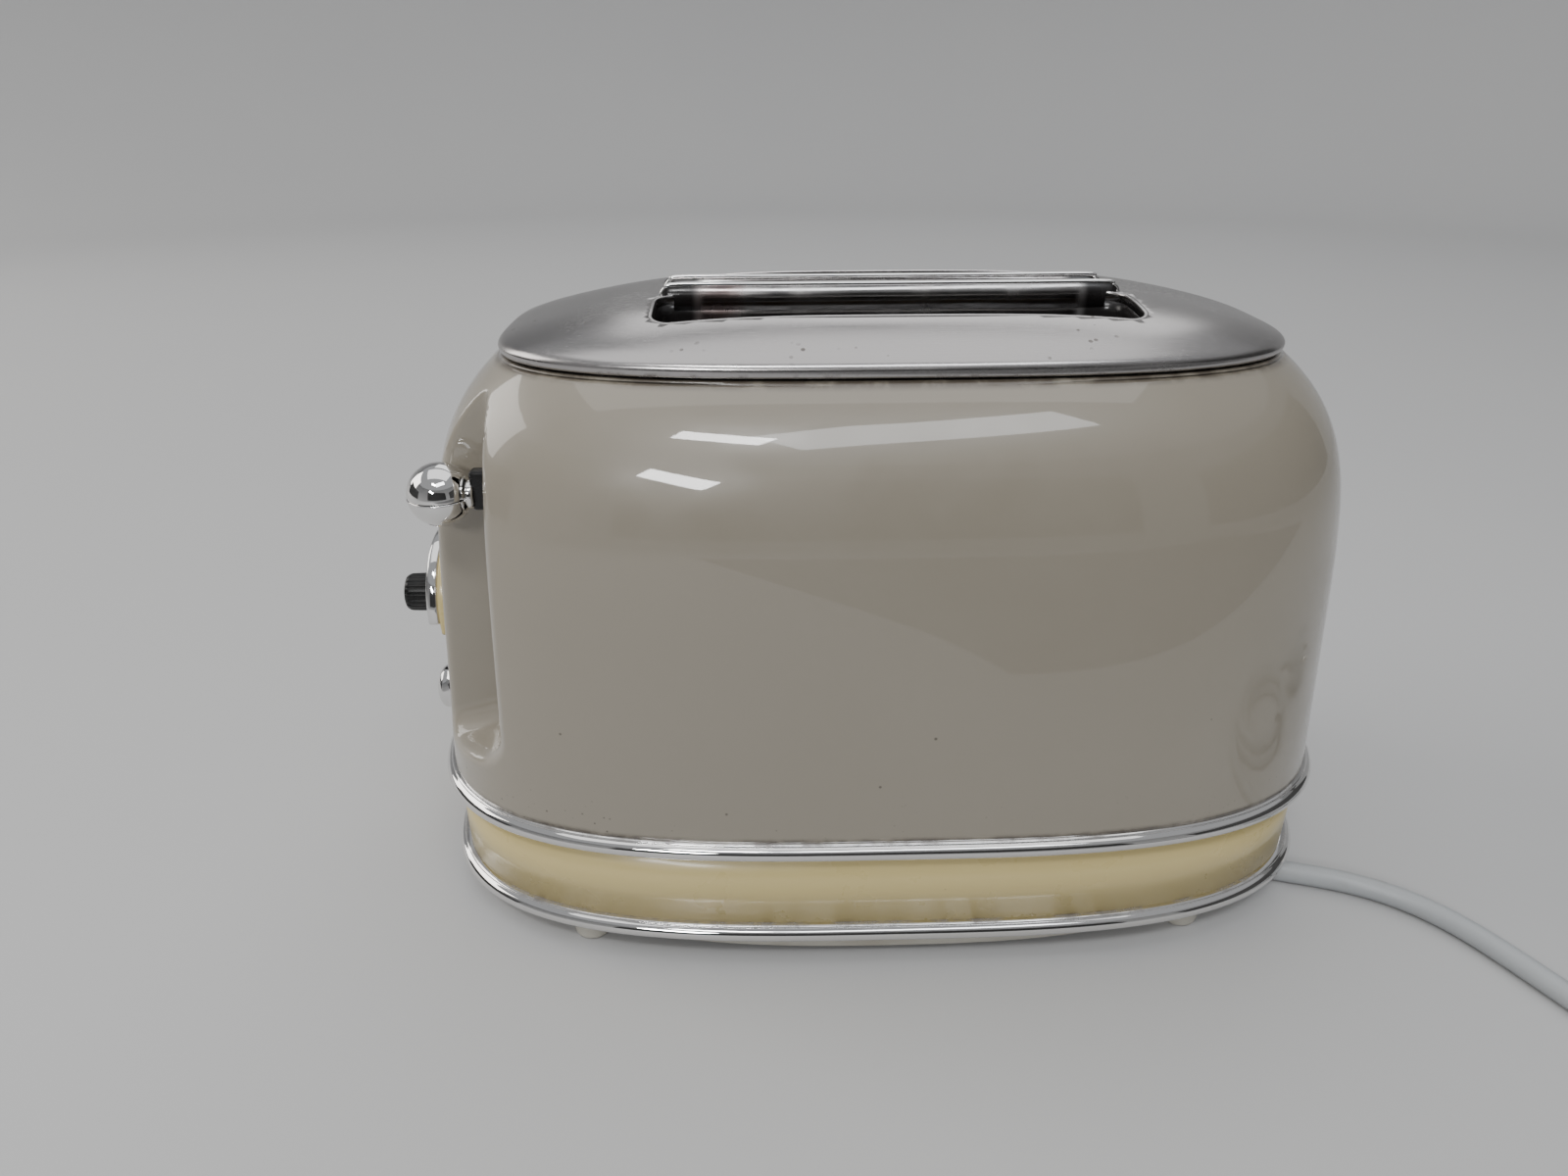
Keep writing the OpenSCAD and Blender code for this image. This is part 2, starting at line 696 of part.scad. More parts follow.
module cord_tail() {
  color([0.93, 0.93, 0.93]) shift() lead_tube(tail_route);
}

module cord_coil() {
  color([0.93, 0.93, 0.93]) shift() translate([coil_at[0], coil_at[1], 0]) rotate_extrude($fn = 96)
    translate([coil_mid_r, lead_d]) rounded(coil_wid, 2 * lead_d, lead_d / 2);
}

module cord_tie() {
  color([0.1, 0.1, 0.1]) shift() translate([coil_at[0], coil_at[1], 0]) rotate(120) {
    difference() {
      block([coil_mid_r - coil_wid / 2 - 0.8, -3, 0], [coil_mid_r + coil_wid / 2 + 0.8, 3, coil_wid + 0.8]);
      block([coil_mid_r - coil_wid / 2 - 0.2, -4, -1], [coil_mid_r + coil_wid / 2, 4, coil_wid]);
    }
  }
}

module along_back(y) {
  translate([plug_at[0], y, plug_r + 0.1]) rotate([-90, 0, 0]) children();
}

module plug_body() {
  color([0.93, 0.93, 0.93]) shift() {
    along_back(plug_at[1] - 14) cylinder(r1 = 4, r2 = 6.5, h = 14);
    along_back(plug_at[1]) cylinder(r1 = plug_r - 4, r2 = plug_r, h = 6);
    along_back(plug_at[1] + 6) cylinder(r = plug_r, h = 26);
  }
}

module plug_pin(side) {
  color([0.85, 0.85, 0.87]) shift() translate([side * 9.5, 0, 0]) {
    along_back(plug_at[1] + 32) cylinder(r = 2.4, h = 17);
    along_back(plug_at[1] + 49) cylinder(r1 = 2.4, r2 = 1.2, h = 2);
  }
}

top_cover();
slot_flange(-1);  // slot_flange_front
slot_flange(1);  // slot_flange_rear
body_shell();
lever_channel();
upper_trim_ring();
base_band();
lower_trim_ring();
base_tray();
foot(-1, -1);  // foot_front_left
foot(1, -1);  // foot_front_right
foot(-1, 1);  // foot_rear_left
foot(1, 1);  // foot_rear_right
base_screw(-1);  // base_screw_front
base_screw(1);  // base_screw_rear
chassis_left();
chassis_right();
reflector(-1);  // reflector_front
reflector(1);  // reflector_rear
heater(-heater_y);  // heater_front
heater(0);  // heater_centre
heater(heater_y);  // heater_rear
bread_guide(-slot_y - guide_open);  // guide_front_outer
bread_guide(-slot_y + guide_open);  // guide_front_inner
bread_guide(slot_y - guide_open);  // guide_rear_inner
bread_guide(slot_y + guide_open);  // guide_rear_outer
bread_rack(-1);  // rack_front
bread_rack(1);  // rack_rear
carriage();
lever_stem();
lever_collar();
ball_half(1);  // ball_upper
ball_half(-1);  // ball_lower
rod(-1);  // rod_front
rod(1);  // rod_rear
return_spring();
latch_magnet();
latch_keeper();
control_board();
dial_plate();
dial_bezel();
dial_knob();
dial_shaft();
potentiometer();
button(button_gap);  // button_left
button(0);  // button_centre
button(-button_gap);  // button_right
button_switches();
crumb_tray();
crumb_tray_front();
crumb_tray_pull();
terminal_block();
cord_gland();
cord_lead();
cord_coil();
cord_tail();
cord_tie();
plug_body();
plug_pin(-1);  // plug_pin_left
plug_pin(1);  // plug_pin_right
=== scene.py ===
# Looks of the pop-up toaster, in metres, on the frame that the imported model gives.
import json
import math

import bmesh
import bpy
import numpy as np
from mathutils import Matrix, Vector


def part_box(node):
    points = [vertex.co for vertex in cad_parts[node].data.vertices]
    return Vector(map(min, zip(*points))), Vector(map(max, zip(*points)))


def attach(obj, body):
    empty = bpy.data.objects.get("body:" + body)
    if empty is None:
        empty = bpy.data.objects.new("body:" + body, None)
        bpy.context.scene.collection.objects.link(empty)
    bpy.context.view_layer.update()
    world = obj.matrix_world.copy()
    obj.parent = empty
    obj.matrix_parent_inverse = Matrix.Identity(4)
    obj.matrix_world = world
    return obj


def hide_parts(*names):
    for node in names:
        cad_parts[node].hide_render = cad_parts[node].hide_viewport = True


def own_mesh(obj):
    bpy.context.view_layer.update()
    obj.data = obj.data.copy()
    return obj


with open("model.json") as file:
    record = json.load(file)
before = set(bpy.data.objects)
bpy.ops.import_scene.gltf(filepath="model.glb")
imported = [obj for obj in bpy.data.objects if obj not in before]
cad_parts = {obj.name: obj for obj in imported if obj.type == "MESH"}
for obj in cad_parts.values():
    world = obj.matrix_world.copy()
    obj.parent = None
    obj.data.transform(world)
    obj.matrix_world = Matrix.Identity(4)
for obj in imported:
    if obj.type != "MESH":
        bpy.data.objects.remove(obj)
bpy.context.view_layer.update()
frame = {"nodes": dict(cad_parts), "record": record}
MM = 0.001

# ---- Driving sizes, read from the frame ----

ring_low, ring_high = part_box("lower_trim_ring")
upper_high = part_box("upper_trim_ring")[1]
shell_low, shell_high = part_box("body_shell")
band_low, band_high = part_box("base_band")

MIDDLE_X = (ring_low[0] + ring_high[0]) / 2
RING_OUT = 2.6 * MM
HALF_LEN = (ring_high[0] - ring_low[0]) / 2 - RING_OUT
HALF_WID = (ring_high[1] - ring_low[1]) / 2 - RING_OUT
PLAN_POWER = 3.2
BASE_POWER = 2.6
SHELL_TOP = shell_high[2]
SHELL_FOOT = shell_low[2]
SHOULDER_IN = 28 * MM
TAPER_IN = 9 * MM
SHOULDER_POWER = 8
CHANNEL_X = 115.5 * MM
CHANNEL_Y = 35 * MM

# The following are in millimetres, for at(), from the middle of the footprint and over the floor.
LID_SEAT = 172
SLOT_HALF_LEN = 68
SLOT_HALF_WID = 12.75
SLOT_CORNER = 6
SLOT_Y = 22.2
DIAL_Z = 87
BUTTON_Z = 63
BUTTONS = (("left", 22), ("centre", 0), ("right", -22))
BALL_CENTRE = (-128, -46, 140)
BALL_R = 9
PLUG_X = 299.5
PLUG_Z = 15.1


def shoulder(z):
    """How far the shell lies inside its widest outline at height z."""
    rise = np.clip((z - SHELL_FOOT) / (SHELL_TOP - SHELL_FOOT), 0, 1)
    return TAPER_IN * rise + (SHOULDER_IN - TAPER_IN) * rise**SHOULDER_POWER


def oval_radius(angle, power=PLAN_POWER):
    """A point of the plan outline with half sizes of 1, angle in radians."""
    c = math.cos(angle)
    s = math.sin(angle)
    r = (abs(c) ** power + abs(s) ** power) ** (-1 / power)
    return r * c, r * s


def oval(inset, angle):
    """A point of the plan outline, angle in radians."""
    u, v = oval_radius(angle)
    return MIDDLE_X + (HALF_LEN - inset) * u, (HALF_WID - inset) * v


# ---- Camera ----


def put_in_scene(name, data):
    piece = bpy.data.objects.new(name, data)
    bpy.context.collection.objects.link(piece)
    return piece


def make_camera():
    """The camera, in front of the toaster and a little above it."""
    data = bpy.data.cameras.new("camera")
    data.sensor_width = 36
    data.lens = 23.6
    data.clip_start = 0.01
    eye = put_in_scene("camera", data)
    turn = Matrix.Rotation(math.radians(-1.4), 4, "Z") @ Matrix.Rotation(math.radians(63.5), 4, "X")
    turn = turn @ Matrix.Rotation(math.radians(-0.2), 4, "Z")
    eye.matrix_world = Matrix.Translation((MIDDLE_X - 0.039, -0.316, 0.244)) @ turn
    bpy.context.scene.camera = eye


make_camera()

# ---- Mesh helpers ----


def add_mesh(name, points, faces, smooth=True):
    mesh = bpy.data.meshes.new(name)
    mesh.from_pydata([tuple(p) for p in points], [], faces)
    mesh.validate()
    if smooth:
        mesh.shade_smooth()
    return put_in_scene(name, mesh)


def loft(name, rows, close_rows=False, caps=False):
    """A surface through rows of equal length, each a closed loop."""
    n = len(rows[0])
    m = len(rows)
    points = [p for row in rows for p in row]
    faces = []
    for k in range(m if close_rows else m - 1):
        for i in range(n):
            a = k * n + i
            b = k * n + (i + 1) % n
            c = ((k + 1) % m) * n + (i + 1) % n
            d = ((k + 1) % m) * n + i
            faces.append((a, b, c, d))
    if caps:
        faces.append(tuple(reversed(range(n))))
        faces.append(tuple(range((m - 1) * n, m * n)))
    return add_mesh(name, points, faces)


def smooth_line(points, steps):
    """Points along a curve that passes through the given ones."""
    spots = [Vector(p) for p in points]
    spots = [2 * spots[0] - spots[1]] + spots + [2 * spots[-1] - spots[-2]]
    line = []
    for k in range(1, len(spots) - 2):
        p0, p1, p2, p3 = spots[k - 1 : k + 3]
        for j in range(steps):
            t = j / steps
            line.append(0.5 * (2 * p1 + (p2 - p0) * t + (2 * p0 - 5 * p1 + 4 * p2 - p3) * t**2
                               + (3 * p1 - p0 - 3 * p2 + p3) * t**3))
    line.append(spots[-2])
    return line


def smooth_pairs(pairs, steps):
    return [(p.x, p.y) for p in smooth_line([(a, b, 0) for a, b in pairs], steps)]


def around_body(name, outline, count=360):
    """An outline of (stand-out, height) pairs in millimetres, carried around the plan oval."""
    rows = []
    for out, z in outline:
        rows.append([(*oval(-(out * MM), 2 * math.pi * i / count), z * MM) for i in range(count)])
    return loft(name, rows, close_rows=True)


def lathe(name, profile, place, axis, count=64):
    """A turned piece: profile of (radius, along) in millimetres, at a place, along an axis letter."""
    rows = []
    for radius, run in profile:
        r = radius * MM
        along = run * MM
        row = []
        for i in range(count):
            t = 2 * math.pi * i / count
            u = r * math.cos(t)
            v = r * math.sin(t)
            if axis == "-x":
                row.append((place[0] - along, place[1] - u, place[2] + v))
            elif axis == "y":
                row.append((place[0] + v, place[1] + along, place[2] + u))
            else:
                row.append((place[0] + u, place[1] + v, place[2] + along))
        rows.append(row)
    return loft(name, rows, caps=True)


def modify(piece, kind, **values):
    m = piece.modifiers.new(kind.lower(), kind)
    for key, value in values.items():
        setattr(m, key, value)
    return m


def apply_all(piece):
    """Turns a piece's modifiers into its mesh."""
    bpy.context.view_layer.update()
    graph = bpy.context.evaluated_depsgraph_get()
    mesh = bpy.data.meshes.new_from_object(piece.evaluated_get(graph))
    piece.modifiers.clear()
    piece.data = mesh


def cut(piece, cutters):
    """Takes the cutters out of a piece, and then away."""
    for cutter in cutters:
        modify(piece, "BOOLEAN", operation="DIFFERENCE", solver="EXACT", object=cutter)
    apply_all(piece)
    for cutter in cutters:
        bpy.data.objects.remove(cutter)


def rounded_box(name, low, high, radius, segments=3):
    """A box with edges rounded by a radius in millimetres."""
    work = bmesh.new()
    bmesh.ops.create_cube(work, size=1)
    for v in work.verts:
        for k in range(3):
            v.co[k] = low[k] + (v.co[k] + 0.5) * (high[k] - low[k])
    bmesh.ops.bevel(work, geom=list(work.edges), offset=radius * MM, segments=segments,
                    profile=0.5, affect="EDGES")
    mesh = bpy.data.meshes.new(name)
    work.to_mesh(mesh)
    work.free()
    mesh.shade_smooth()
    return put_in_scene(name, mesh)


def finish_piece(piece, finish, body, *nodes):
    """Gives a piece its material, its body and the CAD nodes it stands for."""
    piece.data.materials.clear()
    piece.data.materials.append(MATERIALS[finish])
    if nodes:
        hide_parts(*nodes)
    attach(piece, body)
    return piece


# ---- Materials ----


class Paint:
    """A material being made, with short calls for its nodes."""

    def __init__(self, name, color, roughness, metallic=0.0, **sockets):
        self.mat = bpy.data.materials.new(name)
        self.mat.use_nodes = True
        self.nodes = self.mat.node_tree.nodes
        self.links = self.mat.node_tree.links
        self.shader = self.nodes["Principled BSDF"]
        self.put(self.shader, "Base Color", (*color, 1))
        self.put(self.shader, "Roughness", roughness)
        self.put(self.shader, "Metallic", metallic)
        for key, value in sockets.items():
            self.put(self.shader, key.replace("_", " "), value)
        self.place = self.nodes.new("ShaderNodeTexCoord").outputs["Object"]

    def feed(self, socket, value):
        """Sets a socket to a value, or links it to another socket."""
        if isinstance(value, bpy.types.NodeSocket):
            self.links.new(value, socket)
        else:
            socket.default_value = value

    def put(self, node, key, value):
        self.feed(node.inputs[key], value)

    def scaled(self, x, y, z):
        m = self.nodes.new("ShaderNodeMapping")
        self.put(m, "Vector", self.place)
        self.put(m, "Scale", (x, y, z))
        return m.outputs["Vector"]

    def noise(self, scale, detail=4.0, rough=0.55, vector=None):
        n = self.nodes.new("ShaderNodeTexNoise")
        self.put(n, "Vector", self.place if vector is None else vector)
        self.put(n, "Scale", scale)
        self.put(n, "Detail", detail)
        self.put(n, "Roughness", rough)
        return n.outputs["Fac"]

    def spots(self, scale):
        """Distance to the nearest of many scattered points."""
        n = self.nodes.new("ShaderNodeTexVoronoi")
        self.put(n, "Vector", self.place)
        self.put(n, "Scale", scale)
        return n.outputs["Distance"]

    def ramp(self, value, low, high, out_low=0.0, out_high=1.0):
        n = self.nodes.new("ShaderNodeMapRange")
        n.interpolation_type = "SMOOTHSTEP"
        self.put(n, "Value", value)
        self.put(n, "From Min", low)
        self.put(n, "From Max", high)
        self.put(n, "To Min", out_low)
        self.put(n, "To Max", out_high)
        return n.outputs["Result"]

    def math(self, kind, a, b=0.0):
        n = self.nodes.new("ShaderNodeMath")
        n.operation = kind
        for socket, value in zip(n.inputs, (a, b)):
            self.feed(socket, value)
        return n.outputs[0]

    def axis(self, letter):
        """The object's own X, Y or Z, in metres."""
        n = self.nodes.new("ShaderNodeSeparateXYZ")
        self.put(n, "Vector", self.place)
        return n.outputs[letter]

    def mix(self, amount, a, b):
        n = self.nodes.new("ShaderNodeMix")
        n.data_type = "RGBA"
        self.put(n, "Factor", amount)
        for key, value in (("A", a), ("B", b)):
            socket = [i for i in n.inputs if i.name == key and i.type == "RGBA"][0]
            self.feed(socket, (*value, 1) if isinstance(value, tuple) else value)
        return [o for o in n.outputs if o.type == "RGBA"][0]

    def base(self, color):
        self.put(self.shader, "Base Color", color)

    def rough(self, value):
        self.put(self.shader, "Roughness", value)

    def bump(self, height, strength, distance=0.0002):
        n = self.nodes.new("ShaderNodeBump")
        self.put(n, "Height", height)
        self.put(n, "Strength", strength)
        self.put(n, "Distance", distance)
        if self.shader.inputs["Normal"].is_linked:
            self.put(n, "Normal", self.shader.inputs["Normal"].links[0].from_socket)
        self.put(self.shader, "Normal", n.outputs["Normal"])

    def pick(self, *factors):
        """The product of several amounts."""
        total = factors[0]
        for other in factors[1:]:
            total = self.math("MULTIPLY", total, other)
        return total


def near(p, letter, at, reach):
    """1 at a height or place, falling to 0 at some reach from it."""
    away = p.math("ABSOLUTE", p.math("SUBTRACT", p.axis(letter), at))
    return p.ramp(away, 0.0, reach, 1.0, 0.0)


DIRT = (0.055, 0.04, 0.028)


def shell_paint():
    p = Paint("warm_grey_enamel", (0.256, 0.229, 0.182), 0.3, Coat_Weight=1.0, Coat_Roughness=0.03)
    tint = p.mix(p.noise(9, 3), (0.246, 0.219, 0.172), (0.266, 0.239, 0.192))
    foot = near(p, "Z", SHELL_FOOT + 0.0002, 0.0019)
    grime = p.pick(foot, p.ramp(p.noise(160, 5), 0.28, 0.62))
    low = p.ramp(p.axis("Z"), SHELL_FOOT + 0.004, SHELL_FOOT + 0.02, 1.0, 0.0)
    left = p.ramp(p.axis("X"), MIDDLE_X - 0.13, MIDDLE_X + 0.02, 1.0, 0.25)
    crumbs = p.pick(p.ramp(p.spots(420), 0.10, 0.16, 1.0, 0.0), low, left,
                    p.ramp(p.noise(60, 2), 0.52, 0.6))
    specks = p.pick(p.ramp(p.spots(95), 0.03, 0.055, 1.0, 0.0), p.ramp(p.noise(22, 1), 0.55, 0.6))
    top = near(p, "Z", SHELL_TOP + 0.0006, 0.002)
    edge = p.pick(top, p.ramp(p.noise(120, 4), 0.3, 0.55))
    color = p.mix(p.pick(grime, 0.85), tint, DIRT)
    color = p.mix(p.pick(crumbs, 0.9), color, DIRT)
    color = p.mix(p.pick(specks, 0.75), color, DIRT)
    color = p.mix(p.pick(edge, 0.8), color, DIRT)
    p.base(color)
    p.rough(p.ramp(p.noise(45, 5), 0.3, 0.7, 0.28, 0.42))
    p.bump(p.noise(260, 2), 0.04, 0.00004)
    return p.mat


def lid_steel():
    p = Paint("brushed_lid_steel", (0.42, 0.405, 0.40), 0.24, 1.0, Anisotropic=0.5)
    grain = p.noise(3200, 3, 0.6, p.scaled(0.01, 1, 1))
    smear = p.noise(28, 5, 0.6)
    spots = p.pick(p.ramp(p.spots(260), 0.12, 0.2, 1.0, 0.0), p.ramp(p.noise(34, 3), 0.57, 0.63))
    rim = near(p, "Z", SHELL_TOP + 0.0022, 0.0012)
    seam = p.pick(rim, p.ramp(p.noise(150), 0.5, 0.7))
    dirt = p.math("MAXIMUM", p.pick(spots, 0.75), p.pick(seam, 0.6))
    p.base(p.mix(dirt, p.mix(grain, (0.39, 0.375, 0.37), (0.45, 0.435, 0.43)), DIRT))
    p.put(p.shader, "Metallic", p.math("SUBTRACT", 1.0, p.pick(dirt, 0.8)))
    p.rough(p.math("ADD", p.ramp(grain, 0.3, 0.7, 0.2, 0.27), p.ramp(smear, 0.45, 0.7, 0.0, 0.03)))
    p.bump(grain, 0.04, 0.00002)
    return p.mat


def chrome_trim(name="bright_chrome", seam=None):
    p = Paint(name, (0.78, 0.775, 0.77), 0.04, 1.0)
    smear = p.noise(38, 5, 0.65)
    p.rough(p.ramp(smear, 0.4, 0.75, 0.02, 0.09))
    pits = p.pick(p.ramp(p.spots(380), 0.05, 0.1, 1.0, 0.0), p.ramp(p.noise(26, 2), 0.58, 0.64))
    dirt = p.pick(pits, 0.6)
    for at in seam or ():
        line = p.pick(near(p, "Z", at, 0.0009), p.ramp(p.noise(120, 5), 0.4, 0.8))
        dirt = p.math("MAXIMUM", dirt, line)
    p.base(p.mix(dirt, p.mix(smear, (0.73, 0.72, 0.71), (0.79, 0.78, 0.77)), DIRT))
    p.put(p.shader, "Metallic", p.math("SUBTRACT", 1.0, p.pick(dirt, 0.85)))
    p.bump(p.noise(60, 2), 0.006, 0.00003)
    return p.mat


def cream_plastic(name="cream_plastic", edges=()):
    p = Paint(name, (0.60, 0.49, 0.22), 0.3, Coat_Weight=0.35, Coat_Roughness=0.12)
    tone = p.mix(p.noise(12, 3), (0.59, 0.48, 0.21), (0.62, 0.505, 0.235))
    specks = p.pick(p.ramp(p.spots(300), 0.03, 0.06, 1.0, 0.0), p.ramp(p.noise(30, 2), 0.6, 0.66))
    dirt = p.pick(specks, 0.8)
    for at in edges:
        line = p.pick(near(p, "Z", at, 0.0012), p.ramp(p.noise(130, 5), 0.4, 0.75))
        dirt = p.math("MAXIMUM", dirt, p.pick(line, 0.28))
    p.base(p.mix(dirt, tone, (0.09, 0.06, 0.03)))
    p.rough(p.ramp(p.noise(60, 5), 0.3, 0.7, 0.24, 0.38))
    p.bump(p.noise(600, 2), 0.03, 0.00003)
    return p.mat


def base_plastic():
    p = Paint("off_white_plastic", (0.60, 0.575, 0.515), 0.42)
    p.base(p.mix(p.ramp(p.noise(40, 5), 0.45, 0.75), (0.46, 0.44, 0.385), (0.38, 0.35, 0.29)))
    p.bump(p.noise(1200, 2), 0.08, 0.00004)
    return p.mat


def black_plastic():
    p = Paint("black_plastic", (0.006, 0.006, 0.006), 0.3, Specular_IOR_Level=0.35)
    p.base(p.mix(p.ramp(p.noise(180, 4), 0.5, 0.8), (0.005, 0.005, 0.005), (0.016, 0.015, 0.014)))
    p.rough(p.ramp(p.noise(90, 4), 0.3, 0.7, 0.22, 0.36))
    p.bump(p.noise(1500, 2), 0.1, 0.00004)
    return p.mat


def inner_steel():
    p = Paint("zinc_sheet", (0.50, 0.50, 0.51), 0.4, 0.9)
    p.base(p.mix(p.spots(90), (0.40, 0.40, 0.41), (0.60, 0.60, 0.61)))
    p.rough(p.ramp(p.spots(90), 0.1, 0.8, 0.3, 0.5))
    p.bump(p.noise(300, 4), 0.08, 0.00004)
    return p.mat


def bright_alloy():
    p = Paint("tinted_reflector", (0.55, 0.54, 0.53), 0.2, 1.0)
    stain = p.ramp(p.noise(16, 5, 0.6, p.scaled(1, 1, 2)), 0.42, 0.62)
    blue = p.ramp(p.noise(21, 3, 0.6), 0.52, 0.68)
    color = p.mix(p.pick(stain, 0.75), (0.58, 0.57, 0.56), (0.30, 0.20, 0.14))
    p.base(p.mix(p.pick(blue, 0.45), color, (0.22, 0.24, 0.33)))
    p.rough(p.ramp(p.noise(50, 5), 0.3, 0.7, 0.14, 0.34))
    p.bump(p.noise(22, 2), 0.35, 0.0012)
    return p.mat


def slot_liner():
    """Bright sheet that heat has tinted, with painted shade darkening it to near black at the ends of the
    slot and further down.
    """
    p = Paint("slot_liner_steel", (0.5, 0.5, 0.5), 0.16, 1.0)
    stain = p.ramp(p.noise(30, 5, 0.6, p.scaled(1, 1, 2)), 0.45, 0.6)
    red = p.ramp(p.noise(17, 2, 0.5), 0.56, 0.66)
    color = p.mix(p.pick(stain, 0.6), (0.36, 0.35, 0.345), (0.17, 0.15, 0.145))
    color = p.mix(p.pick(red, 0.4), color, (0.2, 0.07, 0.06))
    # Painted shade: the sheet goes near black towards the slot's ends and darker lower down, with less
    # shine there.
    end = p.ramp(p.math("ABSOLUTE", p.math("SUBTRACT", p.axis("X"), MIDDLE_X)), 0.054, 0.0585)
    deep = p.ramp(p.axis("Z"), 0.150, 0.178, 1.0, 0.0)
    painted_slot_shade = p.math("MAXIMUM", end, p.pick(deep, 0.7))
    p.base(p.mix(p.pick(painted_slot_shade, 0.97), color, (0.006, 0.005, 0.005)))
    p.put(p.shader, "Metallic", p.math("SUBTRACT", 1.0, p.pick(painted_slot_shade, 0.9)))
    p.rough(p.ramp(p.noise(70, 4), 0.3, 0.7, 0.12, 0.3))
    p.bump(p.noise(26, 1), 0.6, 0.002)
    return p.mat


def mica_board():
    p = Paint("mica_board", (0.40, 0.31, 0.20), 0.5)
    flake = p.noise(130, 6, 0.7)
    p.base(p.mix(flake, (0.30, 0.22, 0.13), (0.52, 0.42, 0.29)))
    p.rough(p.ramp(flake, 0.35, 0.65, 0.32, 0.65))
    p.bump(flake, 0.25, 0.0001)
    return p.mat


def heater_wire():
    p = Paint("nichrome_ribbon", (0.20, 0.17, 0.15), 0.45, 0.85)
    p.base(p.mix(p.noise(300, 3), (0.14, 0.11, 0.10), (0.28, 0.25, 0.22)))
    p.bump(p.noise(900, 2), 0.1, 0.00003)
    return p.mat


def coil_copper():
    p = Paint("lacquered_copper", (0.45, 0.17, 0.07), 0.3, 0.9)
    p.base(p.mix(p.noise(60, 3), (0.40, 0.14, 0.05), (0.52, 0.22, 0.10)))
    n = p.nodes.new("ShaderNodeTexWave")
    n.bands_direction = "Z"
    p.put(n, "Vector", p.place)
    p.put(n, "Scale", 520.0)
    p.bump(n.outputs["Fac"], 0.5, 0.0002)
    return p.mat


def board_green():
    p = Paint("circuit_board", (0.02, 0.10, 0.045), 0.35, Coat_Weight=0.4)
    n = p.nodes.new("ShaderNodeTexBrick")
    p.put(n, "Vector", p.scaled(1, 1, 1))
    p.put(n, "Scale", 70.0)
    p.put(n, "Color1", (0.02, 0.10, 0.045, 1))
    p.put(n, "Color2", (0.016, 0.085, 0.04, 1))
    p.put(n, "Mortar", (0.06, 0.19, 0.08, 1))
    p.base(n.outputs["Color"])
    p.bump(n.outputs["Fac"], 0.2, 0.00005)
    return p.mat


def lead_white():
    p = Paint("white_lead", (0.375, 0.39, 0.40), 0.38)
    p.base(p.mix(p.ramp(p.noise(55, 5), 0.5, 0.8), (0.375, 0.39, 0.40), (0.32, 0.315, 0.30)))
    p.rough(p.ramp(p.noise(80, 4), 0.3, 0.7, 0.3, 0.48))
    p.bump(p.noise(900, 2), 0.06, 0.00004)
    return p.mat


def pin_metal():
    p = Paint("nickel_pins", (0.66, 0.64, 0.58), 0.22, 1.0)
    p.base(p.mix(p.noise(200, 3), (0.60, 0.58, 0.52), (0.72, 0.70, 0.65)))
    p.bump(p.noise(400, 2, 0.5, p.scaled(1, 0.05, 1)), 0.08, 0.00003)
    return p.mat


def scale_print():
    p = Paint("scale_print", (0.03, 0.028, 0.025), 0.5)
    p.base(p.mix(p.noise(500, 3), (0.02, 0.019, 0.017), (0.05, 0.046, 0.04)))
    return p.mat


RING_SEAMS = (ring_high[2] - 0.1 * MM, upper_high[2] - 0.1 * MM)
MATERIALS = {
    "shell_paint": shell_paint(),
    "lid_steel": lid_steel(),
    "chrome_trim": chrome_trim(),
    "ring_chrome": chrome_trim("ring_chrome", RING_SEAMS),
    "cream_plastic": cream_plastic(),
    "band_cream": cream_plastic("band_cream", (band_low[2], band_high[2])),
    "base_plastic": base_plastic(),
    "black_plastic": black_plastic(),
    "inner_steel": inner_steel(),
    "bright_alloy": bright_alloy(),
    "slot_liner": slot_liner(),
    "mica": mica_board(),
    "heater_wire": heater_wire(),
    "coil_copper": coil_copper(),
    "board_green": board_green(),
    "lead_white": lead_white(),
    "pin_metal": pin_metal(),
    "scale_print": scale_print(),
}

for part in frame["record"]["subparts"]:
    node = frame["nodes"][part["node"]]
    node.data.materials.clear()
    node.data.materials.append(MATERIALS[part["material_slot"]])

# ---- Mains lead ----

LEAD_D = 7 * MM
COIL_MIDDLE = Vector((MIDDLE_X + 0.258, -0.110, 0))
OUTER_R = 41.5 * MM
INNER_R = 34.5 * MM
LOW_Z = 3.5 * MM
HIGH_Z = 10.5 * MM
# The lead from its exit to the coil, and from the coil to the plug, in millimetres.
LEAD_ROUTE = [
    (104, -46, 8), (107, -46, 8), (112, -46.5, 7.2), (117, -47.5, 6), (122, -48.7, 4.7), (128, -50.5, 3.8),
]
ON_FLOOR = [
    (134, -52.4), (140, -54.2), (147, -56.3), (155, -59.3), (163, -63.5), (170, -68.7), (176, -74.8),
    (181, -81.7), (185.2, -89), (189, -96.5), (192.6, -104), (196.3, -111.5), (200.5, -119),
    (205.6, -126.3), (211.8, -133), (219, -138.8), (227.3, -143.8), (237, -148), (247.5, -150.7),
]
LEAD_ROUTE += [(x, y, 3.5) for x, y in ON_FLOOR]
TO_PLUG = [(-106, 10.8), (-101, 11.6), (-96, 12.8), (-91, 14), (-86, 14.8), (-82, 15.1), (-80, 15.1)]
TAIL_ROUTE = [(PLUG_X, y, z) for y, z in TO_PLUG]
# Where in the coil, in degrees of winding, each radius and height is reached.
WINDING = [
    (0, OUTER_R, LOW_Z), (300, OUTER_R, LOW_Z), (390, INNER_R, LOW_Z), (630, INNER_R, LOW_Z),
    (690, INNER_R, HIGH_Z), (900, INNER_R, HIGH_Z), (990, OUTER_R, HIGH_Z), (1170, OUTER_R, HIGH_Z),
]
WOUND_IN_ALL = WINDING[-1][0]
WIND_STEP = 6


